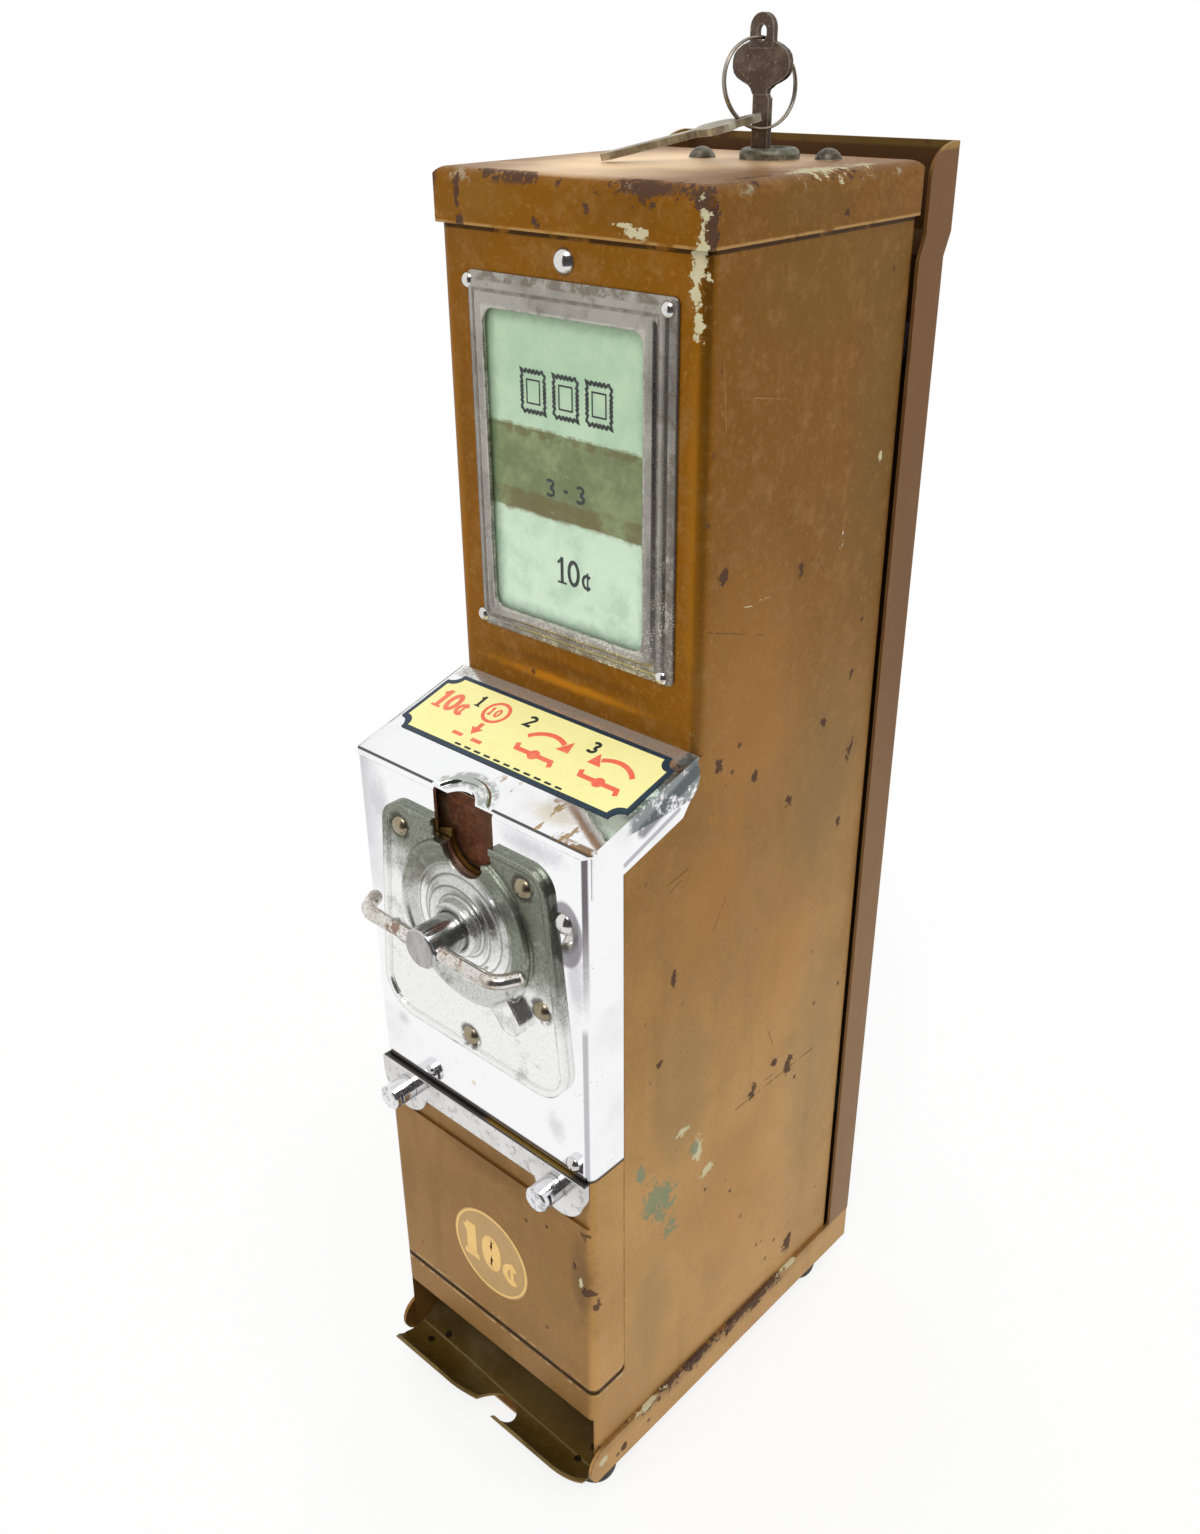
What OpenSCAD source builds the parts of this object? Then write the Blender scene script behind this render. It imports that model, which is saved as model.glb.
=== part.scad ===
// Counter-top vending machine for folders of stamps: stepped sheet-metal case, lift-off
// locked cap, turn handle with coin wheel, crank-driven ejector, coin drawer and tray.
// X runs to the right as seen from the front, Y to the back, Z up from the floor.

/* [Case] */
// Width of the case across its sides
case_w = 101.6; // [96:0.2:112]
// Depth of the upper box, front wall to rear wall
upper_d = 98; // [95:0.1:110]
// How far the lower front stands ahead of the upper box
shoulder_d = 49; // [47:0.5:56]
// Height of the top of the cap above the floor
cap_top_z = 447; // [445:1:480]
// Height of the low front edge of the sloped shoulder
slope_low_z = 277; // [275:0.5:279]
// Rise of the sloped shoulder from front to back
slope_rise = 13.5; // [11:0.5:15]
// Thickness of the case sheet
sheet = 1.2; // [0.9:0.1:1.5]
// Radius of the upright front corners of the upper box
upper_corner_r = 4; // [3:0.5:8]
// Radius of the upright rear corners
rear_corner_r = 1.8; // [1.6:0.1:4]
// Radius of the upright front corners of the lower front
lower_corner_r = 3.2; // [2.4:0.2:5]
// Depth of the side flanges of the front plate and drawer
flange_d = 16; // [12:0.5:20]
// Gap at the seam between the front plates and the case
seam = 0.15; // [0.1:0.05:0.4]

/* [Base] */
// Height of the rubber feet
foot_h = 8; // [6:0.5:12]
// Radius of a rubber foot
foot_r = 8.5; // [7:0.5:10]
// Distance of the feet from the sides of the case
foot_side = 8.5; // [8:0.5:14]
// Distance of the feet from the front and rear of the case
foot_inset = 8.6; // [8:0.2:12]
// Height of the base pan
pan_h = 16; // [14:0.5:17]
// How far the base pan stands proud of the case sides
pan_proud = 1.4; // [1.2:0.1:2]

/* [Rear channel] */
// Depth of the rear channel behind the case
channel_d = 14.6; // [12:0.2:20]
// Height of the top edge of the rear channel above the cap top
channel_over = 4.2; // [3:0.1:12]
// Step backwards of the channel top, clear of the cap
joggle = 3.2; // [2:0.2:5]
// Sideways spacing of the wall holes
wall_hole_x = 60; // [50:1:70]
// Upright spacing of the wall holes
wall_hole_z = 320; // [300:1:330]
// Radius of a wall hole
wall_hole_r = 3.25; // [2.5:0.25:4]

/* [Cap and lock] */
// Height of the cap skirt
cap_skirt_h = 15; // [12:0.5:20]
// Clearance between cap skirt and case
cap_gap = 0.25; // [0.2:0.05:0.4]
// Rounding of the cap's top edges
cap_edge_r = 4.2; // [3:0.2:6]
// Rounding of the cap's upright corners
cap_corner_r = 2.2; // [1.6:0.1:2.6]
// Lock position to the right of the centre line
lock_x = 13; // [0:0.1:14]
// Lock position ahead of the rear wall
lock_from_rear = 23.1; // [23:0.1:30]
// Radius of the raised ring round the lock
lock_ring_r = 8.9; // [8.8:0.1:10]
// Radius of the lock plug
plug_r = 6; // [5.9:0.1:6.1]
// Radius of a cap rivet's head
cap_rivet_r = 4.1; // [3.6:0.1:4.8]

/* [Window] */
// Width of the window frame
frame_w = 80; // [78:0.2:81]
// Height of the window frame
frame_h = 110.4; // [108:0.2:112]
// Width of the window opening
view_w = 61.8; // [58:0.2:64]
// Height of the window opening
view_h = 92.3; // [88:0.1:94]
// Height of the middle of the window
window_z = 364.8; // [362:0.2:366]
// How far the window frame stands proud
frame_t = 2.7; // [2.4:0.1:3.4]
// Sideways shift of the frame's thin flange
frame_shift = 1.4; // [0:0.1:2]

/* [Coin mechanism] */
// Height of the handle shaft
shaft_z = 233.3; // [232:0.1:235]
// Radius of the thick front end of the shaft
shaft_r = 6.7; // [6.2:0.1:7.2]
// Radius of the shaft behind the coin wheel
inner_shaft_r = 4; // [3.5:0.1:4.5]
// How far the shaft stands out at the front
shaft_out = 21; // [19:0.5:24]
// Radius of the handle wire
wire_r = 2.4; // [2:0.1:2.6]
// Half span of the handle bar
bar_reach = 33.5; // [31:0.5:34]
// Radius of the coin that the machine takes
coin_r = 8.95; // [8.5:0.05:9.2]
// Thickness of the coin that the machine takes
coin_t = 1.35; // [1.2:0.05:1.6]
// Radius of the coin wheel
wheel_r = 31; // [29:0.5:31.5]
// Distance of the coin pocket from the shaft
pocket_d = 27.5; // [26:0.5:28]
// Turn of the handle for one sale
handle_turn = 90; // [60:5:90]

/* [Ejector] */
// Stroke of the ejector
stroke = 36; // [30:1:36]
// Upper arm of the bell crank
upper_arm = 60; // [59.5:0.1:60]
// Lower arm of the bell crank
lower_arm = 30; // [28:0.5:32]
// Thickness of one folder
folder_t = 1.6; // [1.2:0.1:2]
// Width of a folder
folder_w = 66; // [60:0.5:66]
// Length of a folder
folder_l = 48; // [44:0.5:48]
// Folders left in the stack
folder_count = 34; // [10:1:40]

/* [Drawer] */
// Height of the bottom edge of the drawer front
drawer_z = 54.4; // [54:0.1:56]
// Height of the top edge of the drawer front
drawer_top_z = 154; // [152:0.1:156]
// Room left between the coin box and the drop shaft
box_gap = 12; // [8:1:40]
// Height of the coin box
box_h = 82; // [50:1:84]
// Distance of the latch knobs from the centre line
knob_x = 36.5; // [34:0.5:38]
// Height of the latch knobs
knob_z = 146.8; // [145.6:0.1:147.4]
// Radius of a latch knob
knob_r = 4.6; // [4:0.1:5.2]
// How far a latch knob stands out from its strap
knob_out = 9; // [7:0.5:12]
// Thickness of the latch strap
strap_t = 3; // [2.4:0.1:3.6]

/* [Tray] */
// Inside radius of the delivery trough
trough_r = 14.3; // [13:0.1:14.6]
// Radius of the thumb notch
notch_r = 8.5; // [6:0.5:10]

/* [Hidden] */
$fn = 48;
eps = 0.01;
half_w = case_w / 2;
case_rear = shoulder_d + upper_d;
pan_z = foot_h;
pan_top = pan_z + pan_h;
seat_z = pan_z + sheet;
slope_high_z = slope_low_z + slope_rise;
slope_deg = atan2(slope_rise, shoulder_d);
plate_t = sheet;
case_top = cap_top_z - cap_edge_r - 0.2;
inset = sheet + 0.1;
rail_z = 39.5;
rail_top = drawer_z - 0.8;
front_low_z = drawer_top_z + 0.5;
channel_rear = case_rear + channel_d;
channel_half = half_w + 1.7;
front_most = shaft_out;
mid_y = (channel_rear + joggle - front_most) / 2;
wall_in = half_w - sheet;
tongue_in = half_w - inset - sheet;
lock_y = case_rear - lock_from_rear;
rivet_spots = [[15.7, 7.6], [-13.5, 13.2], [-19.6, -7.2]];
key_shift = -2.7;
key_front = 0.9;
plug_recess = 1.9;
lock_body_r = plug_r + 1.25;
run = 0.06;
screw_r = 1.5;
bolt_r = 2.2;
shelf_z = slope_high_z + 9.5;
shelf_t = 1.2;
crank_lean = asin(stroke / 2 / upper_arm);
crank_r = lower_arm * sin(crank_lean) / sin(handle_turn / 2);
pivot_y = shoulder_d + sheet + 23.8;
fork_bar_r = 1.5;
crank_pin_r = 2.5;
fork_gap = crank_pin_r + fork_bar_r + 0.75;
drive_pin_r = 2;
lever_x = -19;
lever_t = 3;
stack_y = pivot_y - 16;
chute_half = folder_w / 2 + 1.5;
knob_y = 0.8;
box_z = rail_top + 4.4;
box_half = half_w - 4.8;
runner_x = half_w - 8.8;
chute_front = stack_y + folder_l + 4;
box_l = chute_front - box_gap - sheet - knob_y;
foot_x = half_w - foot_side;
disc_y = 16;
disc_t = 4;

function slope_z(y) = slope_low_z + slope_rise * y / shoulder_d;
function arc(c, r, a0, a1, n = 10) =
    [for (i = [0:n]) let (a = a0 + (a1 - a0) * i / n) [c[0] + r * cos(a), c[1] + r * sin(a)]];
function rivet_at(spot) = [lock_x + spot[0], lock_y + spot[1]];
function inner_r(r) = max(r - sheet, 0.3);

plate_rivets = [[-29, 257.5], [26.5, 257.5], [-32.6, 215.5], [32.6, 215.5], [-1, 188.2]];
frame_x = frame_w / 2;
frame_z = frame_h / 2;
view_z = window_z - 0.6;
sign_screw_z = window_z + frame_z + 5.2;
window_screws_at = [[1.5 - frame_x, window_z + frame_z - 3.2], [frame_x - 2.2, window_z + frame_z - 3.4],
    [1.2 - frame_x, window_z + 2.8 - frame_z], [frame_x - 3, window_z + 2.2 - frame_z]];
spacer_at = [for (x = [8.8 - half_w, half_w - 8.8], z = [86, 392]) [x, z]];
plate_screws_at = [[half_w - 9.2, 251.2, 3.6], [half_w - 7.8, 158.6, 2.9], [-25.8, 158.6, 2]];

// Moves the model so that the origin is under the middle of its footprint
module place() translate([0, -mid_y, 0]) children();

// A drawing in X and Z, from depth y out to the front by t
module facing(y, t) translate([0, y, 0]) rotate([90, 0, 0]) linear_extrude(t) children();

// A drawing in Y and Z, run sideways from x0 to x1
module across(x0, x1) translate([x0, 0, 0]) rotate([90, 0, 90]) linear_extrude(x1 - x0) children();

// A profile of radius and height, turned about an axis that points to the front
module turned(x, y, z) translate([x, y, z]) rotate([90, 0, 0]) rotate_extrude() children();

// A round hole or rod that runs from depth y out to the front by t
module rod(x, y, z, r, t) translate([x, y, z]) rotate([90, 0, 0]) cylinder(r = r, h = t);

// A round hole or rod that runs sideways from x0 to x1
module cross_rod(x0, x1, y, z, r) translate([x0, y, z]) rotate([0, 90, 0]) cylinder(r = r, h = x1 - x0);

module block(x0, x1, y0, y1, z0, z1) translate([x0, y0, z0]) cube([x1 - x0, y1 - y0, z1 - z0]);

// Rectangle about the centre with round corners
module rounded(w, h, r) {
    square([w - 2 * r, h], center = true);
    square([w, h - 2 * r], center = true);
    for (x = [-1, 1], y = [-1, 1]) translate([x * (w / 2 - r), y * (h / 2 - r)]) circle(r);
}

// Plan of a box: front corners of radius rf, rear corners of radius rr
module plan(half, y0, y1, rf, rr) {
    translate([-half, y0 + rf]) square([2 * half, y1 - y0 - rf - rr]);
    translate([-half + rf, y0]) square([2 * (half - rf), rf + eps]);
    translate([-half + rr, y1 - rr - eps]) square([2 * (half - rr), rr + eps]);
    for (x = [-1, 1]) {
        translate([x * (half - rf), y0 + rf]) circle(rf);
        translate([x * (half - rr), y1 - rr]) circle(rr);
    }
}

// Domed screw or rivet head of radius r and height h, standing out to the front from y
module dome(x, y, z, r, h) turned(x, y, z) dome_profile(r, h);

module dome_profile(r, h) {
    ball = (r * r + h * h) / (2 * h);
    intersection() {
        translate([0, h - ball]) circle(ball);
        square([r, h]);
    }
}

module slope_cut(drop, y0, y1) across(-half_w - 5, half_w + 5)
    polygon([[y0, slope_z(y0) - drop], [y1, slope_z(y1) - drop], [y1, slope_z(y1) + 60],
        [y0, slope_z(y0) + 60]]);

module case_shell() color("#8f6428") place() {
    joint_y = flange_d + seam;
    difference() {
        union() {
            difference() {
                translate([0, 0, seat_z]) linear_extrude(case_top - seat_z)
                    plan(half_w, shoulder_d, case_rear, upper_corner_r, rear_corner_r);
                translate([0, 0, seat_z - 1]) linear_extrude(case_top - seat_z + 2)
                    plan(wall_in, shoulder_d + sheet, case_rear - sheet, inner_r(upper_corner_r),
                        inner_r(rear_corner_r));
                block(-wall_in, wall_in, shoulder_d - 1, shoulder_d + 13, seat_z - 1, slope_high_z - 4);
            }
            for (side = [-half_w, wall_in]) across(side, side + sheet) polygon([[joint_y, seat_z],
                [shoulder_d + 12, seat_z], [shoulder_d + 12, slope_high_z - plate_t - 0.05],
                [shoulder_d, slope_high_z - plate_t - 0.05],
                [joint_y, slope_z(joint_y) - plate_t - 0.05]]);
            for (side = [inset - half_w, tongue_in]) across(side, side + sheet) polygon([
                [lower_corner_r, rail_top - 1], [joint_y + 1, rail_top - 1],
                [joint_y + 1, slope_z(joint_y) - plate_t - 0.05],
                [lower_corner_r, slope_z(lower_corner_r) - plate_t - 0.05]]);
            for (side = [-half_w, tongue_in]) block(side, side + half_w - tongue_in, joint_y,
                joint_y + 1.3, rail_top - 1, slope_z(joint_y) - plate_t - 0.05);
            difference() {
                translate([0, 0, seat_z]) linear_extrude(rail_top - seat_z)
                    plan(half_w, 0, flange_d + 1, lower_corner_r, eps);
                translate([0, 0, seat_z - 1]) linear_extrude(rail_top)
                    plan(wall_in, sheet, flange_d + 2, inner_r(lower_corner_r), eps);
                translate([0, 0, seat_z - 1]) linear_extrude(rail_z - seat_z + 1)
                    plan(wall_in, -1, flange_d + 2, eps, eps);
            }
        }
        for (at = spacer_at) rod(at[0], case_rear + 1, at[1], bolt_r + run, sheet + 2);
        for (at = window_screws_at) rod(at[0], shoulder_d + 5, at[1], screw_r + run, 9);
        rod(0, shoulder_d + 5, sign_screw_z, screw_r + run, 9);
    }
}

module base_pan() color("#a37c48") place() {
    pan_half = half_w + pan_proud;
    wall = pan_proud - 0.05;
    cheek = concat([[channel_rear, pan_z], [channel_rear, pan_top], [4, pan_top]],
        arc([4.6, pan_top - 8.4], 8.4, 100, 235, 8));
    for (side = [-pan_half, pan_half - wall]) across(side, side + wall) polygon(cheek);
    difference() {
        block(-pan_half + wall, pan_half - wall, 0, channel_rear, pan_z, seat_z);
        for (x = [-foot_x, foot_x], y = [foot_inset, case_rear - foot_inset])
            translate([x, y, pan_z - 1]) cylinder(r = bolt_r + run, h = sheet + 2);
    }
}

module rubber_feet() color("#242424") place()
    for (x = [-foot_x, foot_x], y = [foot_inset, case_rear - foot_inset]) translate([x, y, 0]) {
        rotate_extrude() {
            translate([0, foot_h / 2]) square([foot_r, foot_h / 2]);
            intersection() {
                translate([0, foot_h / 2]) scale([1, 1]) circle(foot_r);
                square([foot_r, foot_h / 2 + eps]);
            }
        }
        translate([0, 0, foot_h - eps]) cylinder(r = bolt_r, h = sheet + 0.5);
        translate([0, 0, foot_h + sheet]) cylinder(r = bolt_r + 0.6, h = 0.5);
    }

module back_channel() color("#7d5640") place() {
    low = joggle_line(0);
    difference() {
        union() {
            block(-channel_half, channel_half, channel_rear - sheet, channel_rear, seat_z + eps, low);
            across(-channel_half, channel_half) polygon([[channel_rear - sheet, low - eps],
                [channel_rear, low - eps], [channel_rear + joggle, joggle_line(1)],
                [channel_rear + joggle, channel_top()], [channel_rear + joggle - sheet, channel_top()],
                [channel_rear + joggle - sheet, joggle_line(1)]]);
            for (side = [-channel_half, channel_half - sheet])
                across(side, side + sheet) polygon(concat(
                    [[channel_rear, pan_top + 0.3], [channel_rear, low],
                        [channel_rear + joggle, joggle_line(1)],
                        [channel_rear + joggle, channel_top()]],
                    [for (a = [90:10:180]) [channel_rear + joggle - 0.5 + flare_d() * cos(a),
                        channel_top() - 9 + 9 * sin(a)]],
                    [[case_rear + joggle + 0.1, joggle_line(1)], [case_rear + 0.6, low],
                        [case_rear + 0.6, pan_top + 0.3]]));
        }
        block(-half_w - 3, half_w + 3, case_rear, channel_rear - sheet - eps, 0, pan_top + 0.3);
        for (side = [-1, 1]) block(side * (half_w + 1.6) - 1.7, side * (half_w + 1.6) + 1.7,
            case_rear, channel_rear + 1, 0, pan_top + 0.3);
        for (at = spacer_at) rod(at[0], channel_rear + 1, at[1], bolt_r + run, sheet + 2);
        for (x = [-1, 1], z = [-1, 1])
            rod(x * wall_hole_x / 2, channel_rear + 1, wall_mid() + z * wall_hole_z / 2,
                wall_hole_r, sheet + 2);
    }
}

function channel_top() = cap_top_z + channel_over;
function flare_d() = channel_d - 0.6;
function joggle_line(step) = cap_top_z - 28 + step * 7;
function wall_mid() = 239;

module rear_spacers() color("#8d8a84") place()
    for (at = spacer_at) difference() {
        rod(at[0], channel_rear - sheet, at[1], 7, channel_d - sheet);
        rod(at[0], channel_rear, at[1], bolt_r + run, channel_d + 1);
    }

module channel_screws() color("#9a968e") place()
    for (at = spacer_at) {
        rod(at[0], channel_rear + eps, at[1], bolt_r, channel_d + sheet + 3.4);
        mirror([0, 1, 0]) dome(at[0], -channel_rear, at[1], 4.4, 2.6);
        facing(case_rear - sheet, 2.4) translate(at) circle(r = 4, $fn = 6);
    }

// Thin flange under a bevelled frame with a flat band round the opening
module window_frame() color("#8b8680") place() difference() {
    union() {
        facing(shoulder_d, flange_t()) translate([frame_shift, window_z]) rounded(frame_w, frame_h, 2);
        hull() {
            facing(shoulder_d, flange_t() + 0.3) translate([0, window_z])
                rounded(frame_w - 3.6, frame_h - 3.6, 2.5);
            facing(shoulder_d, frame_t) translate([0, view_z]) rounded(view_w + 8, view_h + 8, 3);
        }
    }
    facing(shoulder_d + 1, frame_t + 2) translate([0, view_z]) rounded(view_w, view_h, 2.4);
    facing(shoulder_d + eps, 1.5) translate([0, view_z])
        square([view_w + 3.2, view_h + 3.2], center = true);
    for (at = window_screws_at) {
        rod(at[0], shoulder_d + 1, at[1], screw_r + run, 5);
        rod(at[0], shoulder_d - flange_t(), at[1], 2.7, 5);
    }
}

function flange_t() = 0.8;

module window_glass() color("#cfe0dc") place()
    facing(shoulder_d - 0.45, 1) translate([0, view_z])
        square([view_w + 2.8, view_h + 2.8], center = true);

module display_card() color("#b7d9c4") place()
    facing(shoulder_d, 0.4) translate([0, view_z])
        square([view_w + 2.8, view_h + 2.8], center = true);

module window_screws() color("#a39e95") place()
    for (at = window_screws_at) {
        rod(at[0], shoulder_d + 3.4, at[1], screw_r, 3.4 + flange_t() + eps);
        dome(at[0], shoulder_d - flange_t(), at[1], 2.3, 1.4);
    }

module sign_screw() color("#8b6a3a") place() {
    rod(0, shoulder_d + 4, sign_screw_z, screw_r, 4 + eps);
    dome(0, shoulder_d, sign_screw_z, 3.8, 2.6);
}

module shoulder_plate() color("#d8dadc") place() {
    wing = 16.2;
    out = half_w + 0.8;
    difference() {
        union() {
            across(-out, out) polygon([[0, slope_low_z - plate_t], [0.6, slope_low_z],
                [shoulder_d - 0.05, slope_high_z], [shoulder_d - 0.05, slope_high_z - plate_t]]);
            for (side = [-out, half_w + 0.05]) across(side, side + 0.75)
                polygon(concat([[2.5, slope_z(2.5) - eps], [2.5, slope_z(2.5) - wing],
                    [shoulder_d - 7, slope_z(shoulder_d - 7) - wing]],
                    arc([shoulder_d - 7.5, slope_z(shoulder_d) - 6.4], 8.2, -62, 30, 8),
                    [[shoulder_d - 0.6, slope_high_z - eps]]));
        }
        block(-notch_half(), notch_half(), -1, 1.2, slope_low_z - 5, slope_high_z);
        translate([arch_x(), arch_y(), slope_low_z - 5]) cylinder(r = arch_r() - 4, h = 30);
        for (side = [-1, 1]) translate([side * out, 0, slope_low_z - 30])
            rotate([0, 0, 45]) cube([3, 3, 80], center = true);
    }
    difference() {
        translate([arch_x(), arch_y(), slope_z(arch_y()) - 0.1]) rotate([slope_deg, 0, 0])
            rotate_extrude() translate([arch_r(), 0]) circle(r = 1.1, $fn = 24);
        block(-30, 30, -30, 1.2, slope_low_z - 30, slope_high_z + 10);
        across(-40, 40) polygon([[-20, slope_z(-20) - plate_t + 0.1],
            [40, slope_z(40) - plate_t + 0.1], [40, 200], [-20, 200]]);
    }
}

function notch_half() = coin_r + 4.1;
function arch_x() = -1.5;
function arch_y() = -3;
function arch_r() = 11.4;

module front_plate() color("#dfe1e3") place() difference() {
    translate([0, 0, front_low_z]) linear_extrude(slope_high_z - front_low_z)
        plan(half_w, 0, flange_d, lower_corner_r, eps);
    translate([0, 0, front_low_z - 1]) linear_extrude(slope_high_z)
        plan(half_w - sheet, sheet, flange_d + 2, inner_r(lower_corner_r), eps);
    slope_cut(plate_t + 0.05, -1, flange_d + 2);
    facing(sheet + 1, sheet + 2) coin_window();
    rod(0, sheet + 1, shaft_z, shaft_r + 0.5, sheet + 2);
    for (at = plate_rivets) rod(at[0], sheet + 1, at[1], screw_r + run, sheet + 2);
    for (at = plate_screws_at) rod(at[0], sheet + 1, at[1], screw_r + run, sheet + 2);
}

// The coin opening: a wide mouth open at the top over a round pocket for the coin
module coin_window() {
    mouth_z = shaft_z + pocket_d;
    translate([-notch_half(), mouth_z - 1]) square([2 * notch_half(), 40]);
    translate([1.5, mouth_z]) circle(coin_r + 0.5);
}

module front_plate_screws() color("#c9cbcd") place()
    for (at = plate_screws_at) {
        rod(at[0], sheet + 2.5, at[1], screw_r, sheet + 2.5 + eps);
        dome(at[0], 0, at[1], at[2], at[2] * 0.55);
    }

module plate_outline(grow) hull() {
    for (x = [-1, 1]) {
        translate([x * 27.8, 257]) circle(9 + grow, $fn = 32);
        translate([x * 29.8, 195]) circle(13 + grow, $fn = 32);
    }
}

module coin_plate() color("#8f8f80") place() difference() {
    union() {
        facing(0, 1.5) plate_outline(0);
        difference() {
            facing(-1.5 + eps, 0.8) plate_outline(0);
            facing(-1, 3) plate_outline(-2.2);
        }
        turned(0, 0, shaft_z) polygon([[shaft_r + 0.3, 0], [29.2, 0], [29.2, 2.6], [28.4, 3.5],
            [27.2, 3.5], [26.2, 2.6], [22, 2.2], [16.4, 2.5], [14.6, 4.2], [12.6, 4.2],
            [11.6, 3.4], [9.8, 3.4], [9.4, 6.6], [8.8, 7.2], [shaft_r + 0.3, 7.2]]);
        translate([0, 0, shaft_z]) rotate([0, 51, 0]) {
            block(27, 33.6, -4.8, 0, -5, 5);
            rod(33.6, 0, 0, 5, 4.8);
        }
    }
    facing(2, 12) coin_window();
    rod(0, 1, shaft_z, shaft_r + run, 12);
    for (at = plate_rivets) rod(at[0], 1, at[1], screw_r + run, 12);
}

module coin_plate_rivets() color("#a09a8c") place()
    for (at = plate_rivets) {
        rod(at[0], housing_y() + 2.4, at[1], screw_r, housing_y() + 3.9 + eps);
        dome(at[0], -1.5, at[1], 3.1, 1.7);
        rod(at[0], housing_y() + 3.4, at[1], 2.6, 1.4);
    }

function housing_y() = sheet + coin_t + 2.05;

module wheel_housing() color("#77776c") place() difference() {
    union() {
        facing(housing_y() + 2, 2) plate_outline(-1);
        facing(housing_y() + eps, housing_y() - sheet) difference() {
            translate([0, shaft_z]) circle(wheel_r + 3);
            translate([0, shaft_z]) circle(wheel_r + 0.8);
            polygon([[-15, shaft_z], [-16, shaft_z + 50], [16, shaft_z + 50], [15, shaft_z]]);
            polygon([[0, shaft_z], [60, shaft_z + 6], [60, shaft_z - 42]]);
        }
        rod(0, disc_y - 0.5, shaft_z, 10, disc_y - 0.5 - housing_y() - 1);
        for (at = plate_rivets) rod(at[0], housing_y() + 1, at[1], 3.4, housing_y() + 1 - sheet);
    }
    translate([0, 0, shaft_z]) rod(0, disc_y + 1, 0, inner_shaft_r + 2 + run, disc_y);
    for (at = plate_rivets) rod(at[0], housing_y() + 5, at[1], screw_r + run, housing_y() + 8);
}

module shaft_bush() color("#b08d57") place() turned(0, disc_y - 0.5, shaft_z)
    polygon([[inner_shaft_r + run, 0], [inner_shaft_r + 2, 0],
        [inner_shaft_r + 2, disc_y - 0.5 - housing_y()], [inner_shaft_r + run, disc_y - 0.5 - housing_y()]]);

module handle_shaft() color("#a8a498") place() difference() {
    union() {
        turned(0, sheet + 0.5, shaft_z) polygon([[0, 0], [shaft_r, 0],
            [shaft_r, shaft_out + sheet - 0.2], [shaft_r - 0.7, shaft_out + sheet + 0.5],
            [0, shaft_out + sheet + 0.5]]);
        rod(0, disc_y + disc_t + 4, shaft_z, inner_shaft_r, disc_y + disc_t + 3);
    }
    cross_rod(-shaft_r - 2, shaft_r + 2, -bar_y(), shaft_z, wire_r + 0.03);
}

function bar_y() = shaft_out - wire_r - 1;

// Bar bent back at both ends: straight run, a bend and a short straight end
module handle_bar() color("#a8a498") place() {
    bend_r = 6;
    bend_deg = 62;
    straight = bar_reach - bend_r * sin(bend_deg) - 2.4;
    translate([0, -bar_y(), shaft_z]) {
        rotate([0, 90, 0]) cylinder(r = wire_r, h = 2 * straight, center = true);
        for (side = [0, 1]) mirror([side, 0, 0]) translate([straight, bend_r, 0]) {
            rotate([0, 0, -90]) rotate_extrude(angle = bend_deg) translate([bend_r, 0]) circle(wire_r);
            rotate([0, 0, bend_deg - 90]) translate([bend_r, 0, 0]) {
                rotate([-90, 0, 0]) cylinder(r = wire_r, h = 4);
                translate([0, 4, 0]) sphere(wire_r);
            }
        }
    }
}

module coin_wheel() color("#b59a5a") place() difference() {
    rod(0, sheet + 0.6 + coin_t, shaft_z, wheel_r, coin_t);
    rod(0, 10, shaft_z, inner_shaft_r + 0.02, 12);
    rod(1.5, 10, shaft_z + pocket_d, coin_r + 0.45, 12);
}

module crank_disc() color("#8d8a84") place() {
    start = 180 + handle_turn / 2;
    difference() {
        rod(0, disc_y + disc_t, shaft_z, crank_r + 5, disc_t);
        rod(0, disc_y + disc_t + 1, shaft_z, inner_shaft_r + 0.02, disc_t + 2);
    }
    rod(crank_r * cos(start), pivot_y - lower_arm + 5, shaft_z + crank_r * sin(start), crank_pin_r,
        pivot_y - lower_arm + 5 - disc_y - disc_t + eps);
}

module shaft_nut() color("#8d8a84") place() difference() {
    facing(disc_y + disc_t + 3.2, 3.2) translate([0, shaft_z]) circle(r = 6.6, $fn = 6);
    rod(0, disc_y + disc_t + 5, shaft_z, inner_shaft_r + 0.02, 8);
}

// The bell crank turns the crank pin's rise into the ejector's stroke
module bell_crank() color("#7f8078") place()
    translate([0, pivot_y, shaft_z]) rotate([crank_lean, 0, 0]) difference() {
        union() {
            across(lever_x, lever_x + lever_t) {
                circle(8);
                circle_bar([0, 0], [0, upper_arm], 4.4);
                circle_bar([0, 0], [-lower_arm + 7, 0], 4.4);
                translate([-lower_arm + 3.4, 0]) square([7, 2 * fork_gap + 4.4], center = true);
                for (z = [-1, 1]) circle_bar([-lower_arm + 5, z * fork_gap],
                    [-lower_arm, z * fork_gap], 2.2);
            }
            cross_rod(lever_x - 3, lever_x + lever_t + 3, 0, 0, 6);
            for (z = [-1, 1])
                cross_rod(lever_x + lever_t - eps, -5.5, -lower_arm, z * fork_gap, fork_bar_r);
            cross_rod(lever_x + lever_t - eps, -10.5, 0, upper_arm, drive_pin_r);
        }
        cross_rod(lever_x - 5, lever_x + lever_t + 5, 0, 0, 3 + run);
        block(lever_x - 1, lever_x + lever_t + 1, -lower_arm - 6, -lower_arm + 4,
            -crank_pin_r - 0.75, crank_pin_r + 0.75);
    }

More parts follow.
